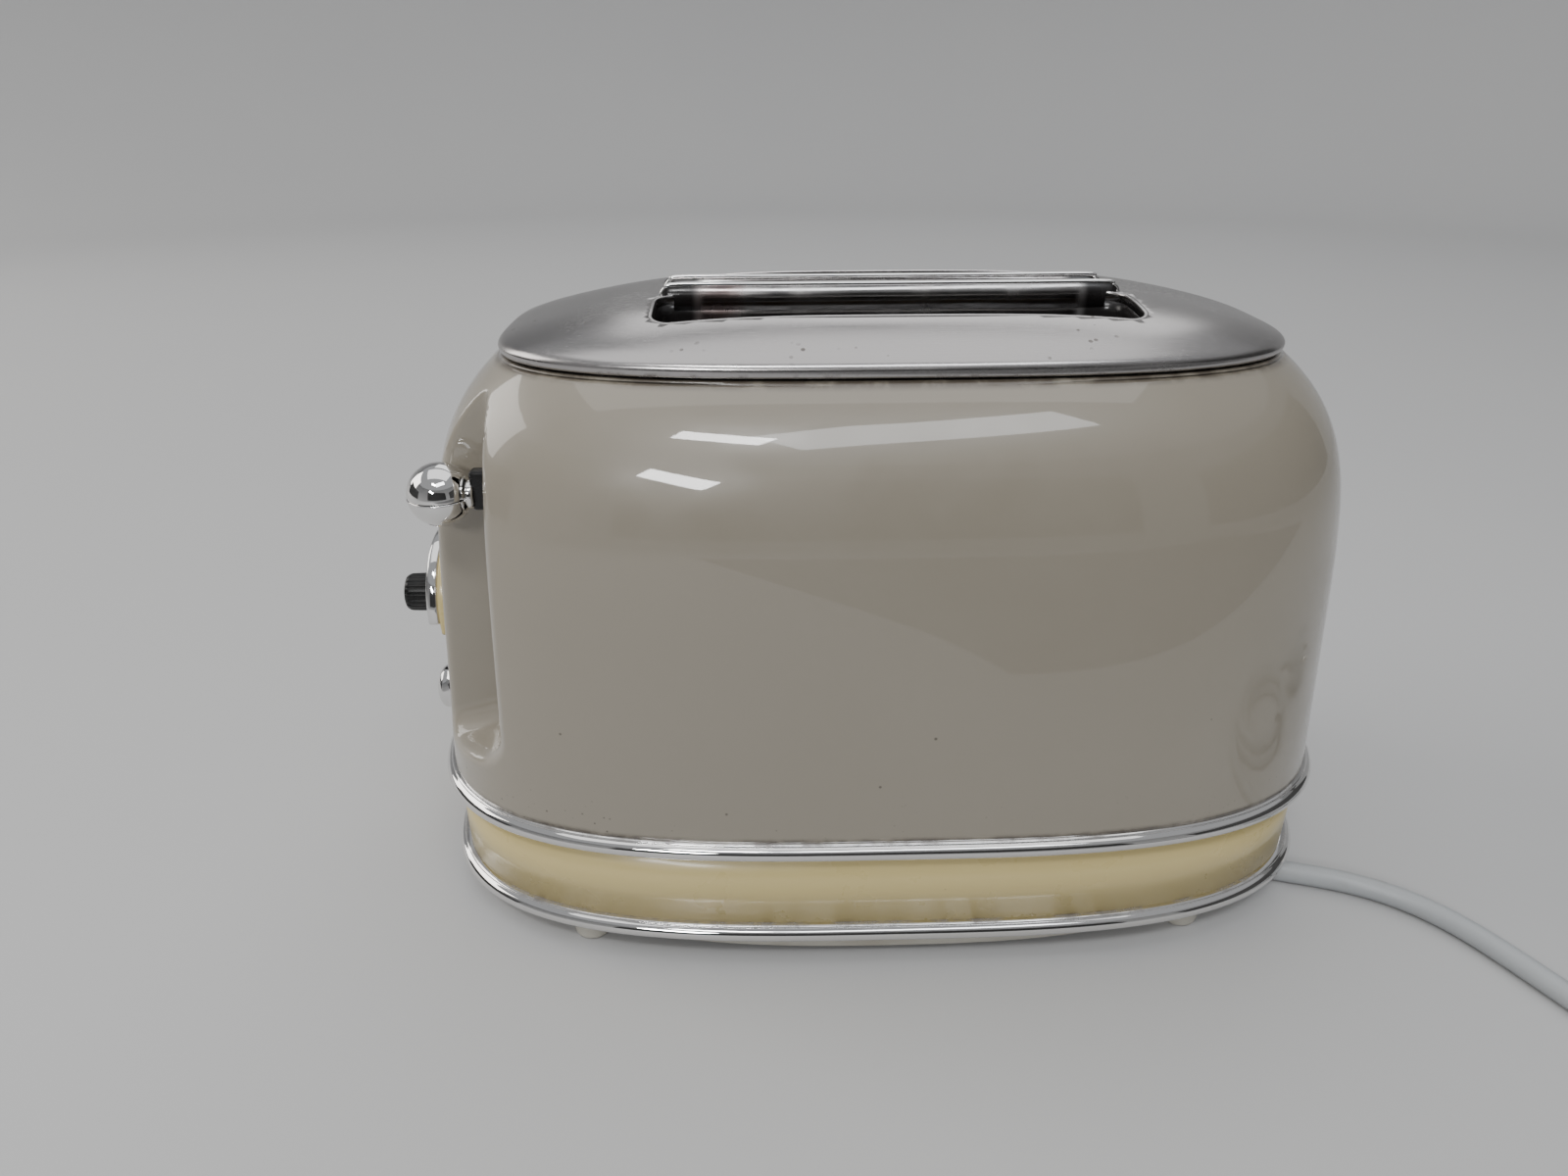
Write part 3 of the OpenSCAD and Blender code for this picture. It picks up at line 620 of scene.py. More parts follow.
def wound(turned):
    """A point of the coil after so many degrees of winding."""
    for (a, r0, z0), (b, r1, z1) in zip(WINDING, WINDING[1:]):
        if turned <= b:
            t = (turned - a) / (b - a)
            s = t * t * (3 - 2 * t)
            r = r0 + (r1 - r0) * s
            z = z0 + (z1 - z0) * s
            break
    angle = math.radians(turned - 90)
    return COIL_MIDDLE + Vector((r * math.cos(angle), r * math.sin(angle), z))


def body_mm(points):
    return [Vector((MIDDLE_X + x * MM, y * MM, z * MM)) for x, y, z in points]


def make_lead(with_pieces):
    """The lead from the toaster through its coil to the plug, as one curve."""
    lead = smooth_line(body_mm(LEAD_ROUTE) + [wound(0)], 3)
    line = lead[:-1] + [wound(WIND_STEP * k) for k in range(WOUND_IN_ALL // WIND_STEP + 1)]
    line += smooth_line([wound(WOUND_IN_ALL)] + body_mm(TAIL_ROUTE), 3)[1:]
    curve = bpy.data.curves.new("mains_lead", "CURVE")
    curve.dimensions = "3D"
    curve.bevel_depth = LEAD_D / 2
    curve.bevel_resolution = 5
    curve.use_fill_caps = True
    spline = curve.splines.new("POLY")
    spline.points.add(len(line) - 1)
    for spot, p in zip(spline.points, line):
        spot.co = (*p, 1)
    piece = put_in_scene("mains_lead", curve)
    finish_piece(piece, "lead_white", "toaster", "cord_lead", "cord_coil", "cord_tail")


def at(x, y, z):
    """A place in the toaster, in millimetres from the middle of its footprint."""
    return (MIDDLE_X + x * MM, y * MM, z * MM)


def bent(name, path, section):
    """A section, as (up, back) pairs in metres, carried along a path in an upright plane."""
    back = Vector((0, 1, 0))
    rows = []
    for k, p in enumerate(path):
        ahead = (Vector(path[min(k + 1, len(path) - 1)]) - Vector(path[max(k - 1, 0)])).normalized()
        up = ahead.cross(back).normalized()
        rows.append([tuple(Vector(p) + up * u + back * b) for u, b in section])
    return loft(name, rows, caps=True)


# ---- Shell, with the lever's recess pressed into its front left corner ----


def round_meet(a, b, r):
    """Distance to where two solids meet, with the edge rounded by r."""
    both = np.maximum(a, b)
    corner = np.hypot(np.maximum(a + r, 0), np.maximum(b + r, 0))
    return np.minimum(-r, both) + corner


def shell_depth(x, y, z):
    """Distance outside the shell's surface, in metres, negative inside."""
    a = HALF_LEN - shoulder(z)
    b = HALF_WID - shoulder(z)
    u = np.abs(x / a)
    v = np.abs(y / b)
    rho = (u**PLAN_POWER + v**PLAN_POWER) ** (1 / PLAN_POWER)
    gx = rho ** (1 - PLAN_POWER) * u ** (PLAN_POWER - 1) / a
    gy = rho ** (1 - PLAN_POWER) * v ** (PLAN_POWER - 1) / b
    body = (rho - 1) / np.hypot(gx, gy)
    bottom = 62 * MM - 0.28 * (-CHANNEL_X - x)
    notch = round_meet(x + CHANNEL_X - 0.035 * (z - 0.105), y + CHANNEL_Y, 3.5 * MM)
    notch = round_meet(notch, bottom - z, 8 * MM)
    lip = 2.6 * MM * np.clip((SHELL_TOP - z) / (30 * MM), 0.08, 1)
    return round_meet(body, -notch, lip)


def shell_row(angles, z, level):
    """Points at height z where the depth has the given value."""
    near_r = np.full_like(angles, 30 * MM)
    far_r = np.full_like(angles, 190 * MM)
    for _ in range(30):
        mid = (near_r + far_r) / 2
        inside = shell_depth(mid * np.cos(angles), mid * np.sin(angles), z) < level
        near_r = np.where(inside, mid, near_r)
        far_r = np.where(inside, far_r, mid)
    return [(MIDDLE_X + r * math.cos(t), r * math.sin(t), z) for r, t in zip(near_r, angles)]


def make_shell():
    wall = 1.3 * MM
    # Points lie closest around the lever's recess, and rows at its foot and at the shoulder.
    degrees = []
    for first, last, step in ((0, 190, 1.25), (190, 216, 0.16), (216, 360, 1.25)):
        degrees += list(np.arange(first, last, step))
    angles = np.radians(degrees)
    heights = []
    spans = ((44.6, 52, 1.8), (52, 74, 0.8), (74, 150, 3), (150, 164, 1.4), (164, 172, 0.5))
    for first, last, step in spans:
        heights += list(np.arange(first, last, step))
    heights = [h * MM for h in heights + [LID_SEAT]]
    rows = [shell_row(angles, z, 0) for z in heights]
    turned_in = [(28.6, 172.5), (29.4, 172.9), (30.4, 173.0), (31.2, 172.7), (31.4, 172), (30.6, 171.2)]
    for inset, z in turned_in:
        rows.append([(*oval(inset * MM, t), z * MM) for t in angles])
    rows += [shell_row(angles, z, -wall) for z in reversed(heights[:-2])]
    shell = loft("shell", rows, close_rows=True)
    cutters = [rounded_box("lever_cut", at(-128, -48.7, 82.8), at(-100, -43.3, 158.4), 2)]
    hole = [(4.5, 0), (4.5, 24)]
    cutters.append(lathe("shaft_cut", hole, at(-130, 0, DIAL_Z), "-x", 40))
    hole = [(7.55, 0), (7.55, 24)]
    for _, y in reversed(BUTTONS):
        cutters.append(lathe("button_cut", hole, at(-130, y, BUTTON_Z), "-x", 48))
    cut(shell, cutters)
    finish_piece(shell, "shell_paint", "toaster", "body_shell", "lever_channel")


# ---- Lid with its two bread slots ----

LID_LEN = 114.8
LID_WID = 54.8
LID_SHEET = 1.2
# The lid's outline from its rolled edge to its middle: share of its half size, height over its seat.
LID_CURVE = [
    (0.985, 1.6), (0.996, 2), (1, 3.2), (0.997, 4.3), (0.985, 5.4), (0.96, 6.5), (0.92, 7.9),
    (0.84, 10.2), (0.73, 12.8), (0.63, 14.4), (0.5, 15.4), (0.3, 15.8), (0.15, 16), (0.02, 16),
]


LID_PROFILE = smooth_pairs(LID_CURVE, 4)


def lid_height(x, y):
    """Height of the lid's face at a place in millimetres."""
    share = (abs(x / LID_LEN) ** PLAN_POWER + abs(y / LID_WID) ** PLAN_POWER) ** (1 / PLAN_POWER)
    dome = [p for p in LID_PROFILE if p[1] >= 4]
    shares, rises = zip(*reversed(dome))
    return LID_SEAT + float(np.interp(share, shares, rises))


CORNERS = ((1, 1), (-1, 1), (-1, -1), (1, -1))


def slot_path(grow, side):
    """Points around a bread slot, grown outwards, in millimetres."""
    r = SLOT_CORNER + grow
    half_x = SLOT_HALF_LEN + grow - r
    half_y = SLOT_HALF_WID + grow - r

    def on_corner(k, turned):
        sx, sy = CORNERS[k % 4]
        t = math.radians(turned)
        return sx * half_x + r * math.cos(t), side * SLOT_Y + sy * half_y + r * math.sin(t)

    points = []
    for k, (sx, sy) in enumerate(CORNERS):
        points += [on_corner(k, 90 * k + 90 * j / 10) for j in range(11)]
        a = points[-1]
        b = on_corner(k + 1, 90 * (k + 1))
        run = 48 if sx == sy else 8
        for j in range(1, run):
            points.append((a[0] + (b[0] - a[0]) * j / run, a[1] + (b[1] - a[1]) * j / run))
    return points


def make_lid():
    count = 320
    rows = []
    inside = []
    for share, rise in LID_PROFILE:
        outer_row = []
        inner_row = []
        for i in range(count):
            u, v = oval_radius(2 * math.pi * i / count)
            outer_row.append(at(LID_LEN * share * u, LID_WID * share * v, LID_SEAT + rise))
            low = LID_SEAT + rise - (LID_SHEET if rise > 4.3 else 0)
            inner_row.append(at((LID_LEN * share - LID_SHEET) * u, (LID_WID * share - LID_SHEET) * v, low))
        rows.append(outer_row)
        inside.append(inner_row)
    lid = loft("lid", list(reversed(inside)) + rows, caps=True)
    cutters = []
    for side in (-1, 1):
        rim = slot_path(1.2, side)
        cutters.append(loft("slot_cut", [[at(x, y, z) for x, y in rim] for z in (160, 200)], caps=True))
    cut(lid, cutters)
    finish_piece(lid, "lid_steel", "toaster", "top_cover")


def slot_rows(side, steps, hanging):
    """Loops around a slot at (outward, below the lid) or (outward, height) in millimetres."""
    rows = []
    for grow, z in steps:
        path = slot_path(grow, side)
        rows.append([at(x, y, lid_height(x, y) + z if hanging else z) for x, y in path])
    return rows


def make_slot(side, label):
    """A slot's lip, its liner, and the rolled bar with its web beside the middle of the lid."""
    lip_outside = [(1.25, -0.06), (1.1, 0.03), (0.7, 0.03), (0.3, -0.02), (0.08, -0.2), (0, -0.55),
                   (0, -2.6)]
    lip_back = [(0.5, -2.6), (0.5, -1.4), (0.9, -1.1), (1.25, -1.1)]
    lip = loft(f"slot_lip_{label}", slot_rows(side, lip_outside + lip_back, True), close_rows=True)
    finish_piece(lip, "lid_steel", "toaster", "top_cover")
    rows = slot_rows(side, [(0.9, -2.4), (0.02, -2.4)], True)
    wall_z = [181, 178, 175, 172, 169, 166, 163, 160.4]
    rows += slot_rows(side, [(0.02, z) for z in wall_z] + [(0.9, 160.4)], False)
    liner = loft(f"slot_liner_{label}", rows, close_rows=True)
    finish_piece(liner, "slot_liner", "toaster", f"slot_flange_{label}")
    roll_y = -side * 13.2 + side * SLOT_Y
    top = 189.75 if side < 0 else 188.9
    bow = [(-67.4, 183), (-67, top - 3), (-65.6, top - 1), (-62.5, top)]
    spots = bow + [(-40, top), (0, top), (40, top)] + [(-x, z) for x, z in reversed(bow)]
    path = [tuple(p) for p in smooth_line([at(x, roll_y, z) for x, z in spots], 6)]
    thick = 0.7 * MM
    ring = [(thick * math.cos(k * math.pi / 8), thick * math.sin(k * math.pi / 8)) for k in range(16)]
    roll = bent(f"slot_roll_{label}", path, ring)
    finish_piece(roll, "chrome_trim", "toaster", f"slot_flange_{label}")
    rows = []
    for p in path[2:-2]:
        y0 = side * 8.7 * MM
        y1 = side * 9.62 * MM
        rows.append([(p[0], y0, 0.1825), (p[0], y1, 0.1825), (p[0], y1, p[2]), (p[0], y0, p[2])])
    web = loft(f"slot_web_{label}", rows, caps=True)
    finish_piece(web, "slot_liner", "toaster", f"slot_flange_{label}")


# ---- Trim rings, band and base ----

# A trim ring's outline from its foot up: stand-out and height in millimetres.
RING_OUTLINE = [
    (0.3, 0), (1.5, 0.25), (2.3, 1), (2.6, 2.1), (2.4, 3.2), (1.75, 4.1), (0.95, 4.6), (0.75, 4.75),
    (0.9, 4.95), (0.8, 5.3), (0.3, 5.6),
]


def make_ring(name, foot, node):
    outline = [(-4, 0)] + smooth_pairs(RING_OUTLINE, 4) + [(-4, 5.6)]
    ring = around_body(name, [(out, foot + up) for out, up in outline])
    finish_piece(ring, "ring_chrome", "toaster", node)


def band_blank(name):
    outline = [(-0.8, 14.2), (-0.8, 39.6), (-2.2, 39.6), (-2.2, 14.2)]
    return around_body(name, outline)


def make_band():
    band = band_blank("band")
    window = rounded_box("window_cut", at(-74.2, 40, 16.9), at(74.2, 110, 31.5), 2.2)
    cut(band, [window])
    finish_piece(band, "band_cream", "toaster", "base_band")
    front = band_blank("tray_front")
    keep = rounded_box("window_keep", at(-73.8, 40, 17.3), at(73.8, 110, 31.1), 2)
    modify(front, "BOOLEAN", operation="INTERSECT", solver="EXACT", object=keep)
    apply_all(front)
    bpy.data.objects.remove(keep)
    finish_piece(front, "band_cream", "crumb_drawer", "crumb_tray_front")
    bracket = rounded_box("tray_bracket", at(-8, 76.6, 18.4), at(8, 81.6, 23), 0.5)
    finish_piece(bracket, "inner_steel", "crumb_drawer", "crumb_tray_front")
    pull = rounded_box("tray_pull", at(-16, 82.2, 23.2), at(16, 85.4, 25.7), 1.1, 4)
    finish_piece(pull, "chrome_trim", "crumb_drawer", "crumb_tray_pull")


def base_row(inset, z, power=BASE_POWER, shift=2.0, count=288):
    """A loop around the base at a height, in millimetres."""
    row = []
    for i in range(count):
        u, v = oval_radius(2 * math.pi * i / count, power)
        row.append(at((143.4 - inset - shift) * u, (83.4 - inset) * v, z))
    return row


def make_base():
    skirt_line = [(4.5, 8.3), (4.5, 3.8), (4.2, 3.15), (3.6, 3), (2.6, 3), (1.9, 3.15), (1.35, 3.6),
                  (1.05, 4.3), (0.9, 6), (0.8, 8.6)]
    rows = [base_row(inset, z) for inset, z in skirt_line]
    rows += [base_row(5, 8.62, PLAN_POWER, 0), base_row(5, 11, PLAN_POWER, 0)]
    base = loft("base", rows, caps=True)
    inner = (at(83.5, -54, -2), at(122, -39.5, 20.6))
    cutters = [rounded_box("trough_cut", *inner, 1)]
    cutters.append(rounded_box("exit_cut", at(116, -56, -4), at(160, -44, 8.5), 1.6))
    for side in (-1, 1):
        hole = [(1.6, 0), (1.6, 20)]
        cutters.append(lathe("screw_cut", hole, at(0, 30 * side, 0), "z", 24))
        for k in range(-5, 6):
            x = 11 * k
            low = at(x - 2, side * 58 - 9, 2)
            high = at(x + 2, side * 58 + 9, 20)
            cutters.append(rounded_box("vent_cut", low, high, 1.9))
    cut(base, cutters)
    finish_piece(base, "base_plastic", "toaster", "base_tray")
    trough = rounded_box("lead_trough", at(82, -55.5, 1), at(123.5, -38, 22.1), 0.8)
    open_side = rounded_box("trough_open", at(118, -70, -3), at(130, -20, 8.62), 0.1)
    bottom = rounded_box("trough_bottom", at(83.5, -54, -3), at(122, -39.5, 20.6), 0.8)
    skirt = rounded_box("trough_skirt", at(84.6, -70, -3), at(130, -20, 8.7), 0.1)
    bore = lathe("gland_bore", [(4.6, 0), (4.6, 5)], at(85, -46, 8), "-x", 40)
    cut(trough, [bottom, open_side, skirt, bore])
    finish_piece(trough, "base_plastic", "toaster", "base_tray")
    foot = [(4.4, 0), (5.3, 0.25), (5.8, 0.8), (6, 1.7), (6, 5), (5.9, 8.3)]
    feet = ((-1, -1, "front_left"), (1, -1, "front_right"), (-1, 1, "rear_left"), (1, 1, "rear_right"))
    for x, y, label in feet:
        place = at(94 * x, 68 * y, 0)
        piece = lathe(f"foot_{label}_pad", foot, place, "z", 48)
        finish_piece(piece, "base_plastic", "toaster", f"foot_{label}")


# ---- Lever ----


def half_of(piece, name, z, keep_above):
    """The part of a piece above or below a height, closed."""
    work = bmesh.new()
    work.from_mesh(piece.data)
    geom = list(work.verts) + list(work.edges) + list(work.faces)
    found = bmesh.ops.bisect_plane(work, geom=geom, plane_co=(0, 0, z), plane_no=(0, 0, 1),
                                   clear_inner=keep_above, clear_outer=not keep_above)
    edges = [e for e in found["geom_cut"] if isinstance(e, bmesh.types.BMEdge)]
    bmesh.ops.holes_fill(work, edges=edges, sides=0)
    flat = [f for f in work.faces if abs(f.normal.z) > 0.999 and len(f.verts) > 8]
    rim = list({e for f in flat for e in f.edges})
    bmesh.ops.bevel(work, geom=rim, offset=0.25 * MM, segments=2, profile=0.5, affect="EDGES")
    mesh = bpy.data.meshes.new(name)
    work.to_mesh(mesh)
    work.free()
    mesh.shade_smooth()
    return put_in_scene(name, mesh)


def make_lever():
    stem = rounded_box("stem", at(-119, -48.3, 135.8), at(-83, -43.7, 147.2), 1, 4)
    finish_piece(stem, "black_plastic", "lever", "lever_stem")
    centre = at(*BALL_CENTRE)
    collar = [(3.4, -10), (3.9, -9.6), (4.1, -9), (4.1, -8.4), (4, -7.6)]
    neck = lathe("ball_neck", collar, centre, "-x", 48)
    finish_piece(neck, "chrome_trim", "lever", "lever_collar")
    profile = []
    for k in range(161):
        t = math.radians(-153 + 153 * k / 160)
        r = BALL_R * math.sin(-t)
        along = BALL_R * math.cos(t)
        # A fine groove near the collar.
        if abs(along + 7.1) < 0.2:
            r -= 0.5
        profile.append((max(r, 0.05), along))
    whole = lathe("ball", profile, centre, "-x", 96)
    for label, sign in (("upper", 1), ("lower", -1)):
        part = half_of(whole, f"ball_{label}_shell", centre[2] + sign * 0.12 * MM, sign > 0)
        finish_piece(part, "chrome_trim", "lever", f"ball_{label}")
    bpy.data.objects.remove(whole)


# ---- Dial and buttons ----


def half_round(radius, flat, x):
    """A half-round outline facing the left end, in millimetres, at a given stand-out."""
    low = math.degrees(math.asin(flat / radius))
    row = []
    for k in range(97):
        t = math.radians(-low + (180 + 2 * low) * k / 96)
        row.append(at(-x, radius * math.cos(t), DIAL_Z + radius * math.sin(t)))
    for k in range(1, 24):
        t = k / 24
        row.append(at(-x, (2 * t - 1) * radius * math.cos(math.radians(low)), DIAL_Z - flat))
    return row


def add_text(word, y, z, x, size):
    """A printed mark on the dial's plate, in millimetres."""
    data = bpy.data.curves.new(f"scale_{word}", "FONT")
    data.body = word
    data.size = size * MM
    data.extrude = 0.06 * MM
    data.align_x = "CENTER"
    data.align_y = "CENTER"
    data.resolution_u = 3
    piece = put_in_scene(f"scale_{word}", data)
    turn = Matrix.Rotation(math.radians(-90), 4, "Z") @ Matrix.Rotation(math.radians(90), 4, "X")
    piece.matrix_world = Matrix.Translation(at(-x, y, z)) @ turn
    bpy.context.view_layer.update()
    graph = bpy.context.evaluated_depsgraph_get()
    mesh = bpy.data.meshes.new_from_object(piece.evaluated_get(graph))
    mesh.transform(piece.matrix_world)
    solid = put_in_scene(f"mark_{word}", mesh)
    bpy.data.objects.remove(piece)
    finish_piece(solid, "scale_print", "toaster", "dial_plate")


def make_dial():
    steps = [(22.2, 3.9, 142.6), (22.7, 4.3, 142.45), (22.95, 4.46, 142.1), (23, 4.5, 141.6),
             (23, 4.5, 137)]
    plate = loft("dial_face", [half_round(*s) for s in steps], caps=True)
    finish_piece(plate, "cream_plastic", "toaster", "dial_plate")
    rows = []
    for k in range(91):
        t = math.radians(-1.3 + 182.6 * k / 90)
        row = []
        for j in range(24):
            u = 2 * math.pi * j / 24
            cu = math.copysign(abs(math.cos(u)) ** 0.55, math.cos(u))
            su = math.copysign(abs(math.sin(u)) ** 0.55, math.sin(u))
            r = 21.4 + 1.6 * cu
            row.append(at(-144.35 - 1.85 * su, r * math.cos(t), DIAL_Z + r * math.sin(t)))
        rows.append(row)
    bezel = loft("dial_arch", rows, caps=True)
    finish_piece(bezel, "chrome_trim", "toaster", "dial_bezel")
    for k in range(7):
        t = math.radians(20 + 140 * k / 6)
        place = Vector(at(-142.62, 11.4 * math.cos(t), DIAL_Z + 11.4 * math.sin(t)))
        out = Vector((0, math.cos(t), math.sin(t)))
        across = Vector((0, -math.sin(t), math.cos(t))) * 0.22 * MM
        low = place - out * 1.2 * MM
        high = place + out * 1.2 * MM
        rim = [low - across, high - across, high + across, low + across]
        depth = Vector((-0.08 * MM, 0, 0))
        tick = loft(f"tick_{k}", [rim, [p + depth for p in rim]], caps=True)
        finish_piece(tick, "scale_print", "toaster", "dial_plate")
        add_text(str(k + 1), 16 * math.cos(t), DIAL_Z + 16 * math.sin(t), 142.62, 4)
    rows = []
    knob = [(5.2, 143.9), (5.4, 144.1), (5.4, 146), (6.2, 146.3), (6.6, 146.9), (6.55, 150), (6.4, 156),
            (6.3, 157.6), (5.9, 158.4), (5.2, 158.8), (0.1, 158.8)]
    for r, x in smooth_pairs(knob, 3):
        row = []
        for i in range(216):
            t = 2 * math.pi * i / 216
            dip = 0.5 * max(0.0, math.cos(18 * t)) ** 3
            deep = dip if 146.6 < x < 158.3 else 0
            row.append(at(-x, -(r - deep) * math.cos(t), DIAL_Z + (r - deep) * math.sin(t)))
        rows.append(row)
    knob_piece = loft("knob", rows, caps=True)
    finish_piece(knob_piece, "black_plastic", "dial", "dial_knob")
    line = rounded_box("knob_line", at(-158.95, -0.5, 89), at(-158.5, 0.5, 92.4), 0.15)
    finish_piece(line, "lead_white", "dial", "dial_knob")


def make_buttons():
    profile = [(2.4, 132.6), (2.4, 136.6), (8.5, 136.6), (8.5, 138), (7.2, 138), (7.2, 143), (7.0, 143.7),
               (6.5, 144.35), (5.6, 144.95), (4.4, 145.5), (3, 145.95), (1.5, 146.2), (0.05, 146.3)]
    for label, y in BUTTONS:
        place = at(0, y, BUTTON_Z)
        piece = lathe(f"button_{label}_cap", profile, place, "-x", 64)
        finish_piece(piece, "chrome_trim", f"button_{label}_body", f"button_{label}")


# ---- Heaters, spring and control board ----

BOX_FACES = ((0, 1, 5, 4), (1, 2, 6, 5), (2, 3, 7, 6), (3, 0, 4, 7), (0, 3, 2, 1), (4, 5, 6, 7))


def make_heaters():
    """Zigzag ribbons on both faces of each heater board."""
    for label, y in (("front", -44.5), ("middle", 0), ("rear", 44.5)):
        faces = []
        points = []
        for k in range(14):
            z = 46 + 7.4 * k
            for side in (-1, 1):
                for sx in range(-15, 15):
                    x0 = sx * 4.8
                    x1 = x0 + 4.8
                    swing = 0.9 if sx % 2 else -0.9
                    z0 = z + swing
                    z1 = z - swing
                    y0 = y + side * 0.55
                    y1 = y + side * 0.8
                    n = len(points)
                    for x, h in ((x0, z0), (x1, z1)):
                        points += [at(x, y0, h), at(x, y1, h), at(x, y1, h + 1.1), at(x, y0, h + 1.1)]
                    faces += [tuple(n + i for i in face) for face in BOX_FACES]
        ribbons = add_mesh(f"ribbons_{label}", points, faces, smooth=False)
        finish_piece(ribbons, "heater_wire", "toaster")


def make_spring():
    """The lever's return spring, as a fixed coil; the real one shortens as the lever goes down."""
    low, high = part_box("return_spring")
    wire = 0.6 * MM
    mid_x = (low[0] + high[0]) / 2
    mid_y = (low[1] + high[1]) / 2
    turns = 11
    steps = 36 * turns
    rows = []
    for k in range(steps + 1):
        share = k / steps
        eased = share - 0.11 * math.sin(2 * math.pi * share) / (2 * math.pi) * turns / 2
        eased = min(max(eased, 0), 1)
        turn = 2 * math.pi * turns * share
        z = low[2] + wire + (high[2] - low[2] - 2 * wire) * eased
        row = []
        for j in range(8):
            a = 2 * math.pi * j / 8
            r = 4 * MM + wire * math.cos(a)
            row.append((mid_x + r * math.cos(turn), mid_y + r * math.sin(turn), z + wire * math.sin(a)))
        rows.append(row)
    spring = loft("spring", rows, caps=True)
    finish_piece(spring, "inner_steel", "toaster", "return_spring")
    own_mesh(spring)


def make_board():
    """Parts soldered on the control board, and the three switches behind the buttons."""
    parts = [(-26, 52, 9, 9), (-12, 50, 7, 12), (14, 50, 12, 8), (-24, 74, 6, 6), (22, 72, 8, 10),
             (24, 96, 5, 8)]
    for k, (y, z, wide, high) in enumerate(parts):
        near_end = at(-104.4, y - wide / 2, z)
        far_end = at(-104.4 + wide * 0.7, y + wide / 2, z + high)
        piece = rounded_box(f"board_part_{k}", near_end, far_end, 0.8)
        finish_piece(piece, "black_plastic", "toaster")
    for label, y in BUTTONS:
        body = rounded_box(f"switch_{label}", at(-129.9, y - 6, 57.2), at(-106.1, y + 6, 68.8), 1)
        finish_piece(body, "black_plastic", "toaster", "button_switches")
    strip = rounded_box("switch_strip", at(-109, -27.6, 58.4), at(-106.05, 27.6, 67.6), 0.6)
    finish_piece(strip, "board_green", "toaster", "button_switches")


# ---- The lead's relief, its plug and its tie ----


def make_gland():
    """The ribbed, tapered relief that the lead leaves through."""
    profile = [(4.1, 0), (4.25, 0.3)]
    for k in range(8):
        a = 0.6 + 2.2 * k
        r = 4.25 + 0.12 * k
        profile += [(r, a), (r + 0.1, a + 0.3), (r + 0.1, a + 1.3), (r - 0.35, a + 1.5),
                    (r - 0.35, a + 2.0)]
    profile += [(5.2, 18.4), (5.6, 18.6), (5.6, 20.4), (4.55, 20.5), (4.55, 22), (3.6, 22)]
    boot = lathe("lead_boot", profile, at(*LEAD_ROUTE[0]), "-x", 40)
    finish_piece(boot, "lead_white", "toaster", "cord_gland")


def make_plug():
    """The plug with its relief, and its two pins."""
    relief = [(3.9, -80), (4.2, -79.8)]
    for k in range(5):
        a = -79.4 + 2.6 * k
        r = 4.4 + 0.45 * k
        relief += [(r, a), (r + 0.25, a + 0.4), (r + 0.3, a + 1.4), (r - 0.3, a + 1.7), (r - 0.3, a + 2.3)]
    body = [(6.6, -66), (9, -65.8), (11, -65), (12.4, -63.6), (13.6, -61.8), (14.5, -59.6), (14.95, -57),
            (15, -52), (15, -40), (14.9, -36), (14.5, -34.7), (13.6, -34), (0.1, -34)]
    rows = []
    for r, y in relief + body:
        row = []
        for i in range(96):
            t = 2 * math.pi * i / 96
            grip = 0.0
            if y > -62 and r > 12:
                grip = 2.4 * math.exp(-((abs(math.sin(t)) - 1) / 0.035) ** 2)
                grip *= 0.6 + 0.4 * math.cos(y * 2.1)
            row.append(at(PLUG_X + (r - grip) * math.sin(t), y, PLUG_Z + (r - grip) * math.cos(t)))
        rows.append(row)
    plug = loft("plug", rows, caps=True)
    finish_piece(plug, "lead_white", "toaster", "plug_body")
    pins = []
    for label, side in (("left", -1), ("right", 1)):
        pin = [(2.4, -34.2), (2.4, -19), (2.3, -17.4), (1.9, -16), (1.2, -15.2), (0.1, -15)]
        place = at(PLUG_X + 9.5 * side, 0, PLUG_Z)
        piece = lathe(f"pin_{label}", pin, place, "y", 40)
        finish_piece(piece, "pin_metal", "toaster", f"plug_pin_{label}")
        pins.append(piece)
    return [plug] + pins


def make_tie():
    """A strap over the coil."""
    turn = math.radians(120)
    away = Vector((math.cos(turn), math.sin(turn), 0))
    along = Vector((-math.sin(turn), math.cos(turn), 0))
    path = [(30.65, 0.3), (30.65, 11), (31.2, 13.2), (33, 14.4), (38, 14.4), (43, 14.4), (44.8, 13.2),
            (45.35, 11), (45.35, 0.3)]
    spots = smooth_line([(r, z, 0) for r, z in path], 4)
    rows = []
    for k, p in enumerate(spots):
        ahead = (spots[min(k + 1, len(spots) - 1)] - spots[max(k - 1, 0)]).normalized()
        out = Vector((-ahead.y, ahead.x, 0))
        row = []
        for s, u in ((-2.6, -0.35), (2.6, -0.35), (3, 0), (2.6, 0.35), (-2.6, 0.35), (-3, 0)):
            q = p + out * u
            row.append(tuple(COIL_MIDDLE + away * q.x * MM + along * s * MM + Vector((0, 0, q.y * MM))))
        rows.append(row)
    tie = loft("lead_tie", rows, caps=True)
    finish_piece(tie, "black_plastic", "toaster", "cord_tie")
    return tie


# ---- Making all pieces ----

make_shell()
make_lid()
make_slot(-1, "front")
make_slot(1, "rear")
make_ring("upper_ring", 39.6, "upper_trim_ring")
make_ring("lower_ring", 8.6, "lower_trim_ring")
make_band()
make_base()
make_lever()
make_dial()
make_buttons()
make_heaters()
make_spring()
make_board()
make_gland()
make_lead(make_plug() + [make_tie()])

# ---- Floor and light ----

FLAT_FLOOR_R = 1.9


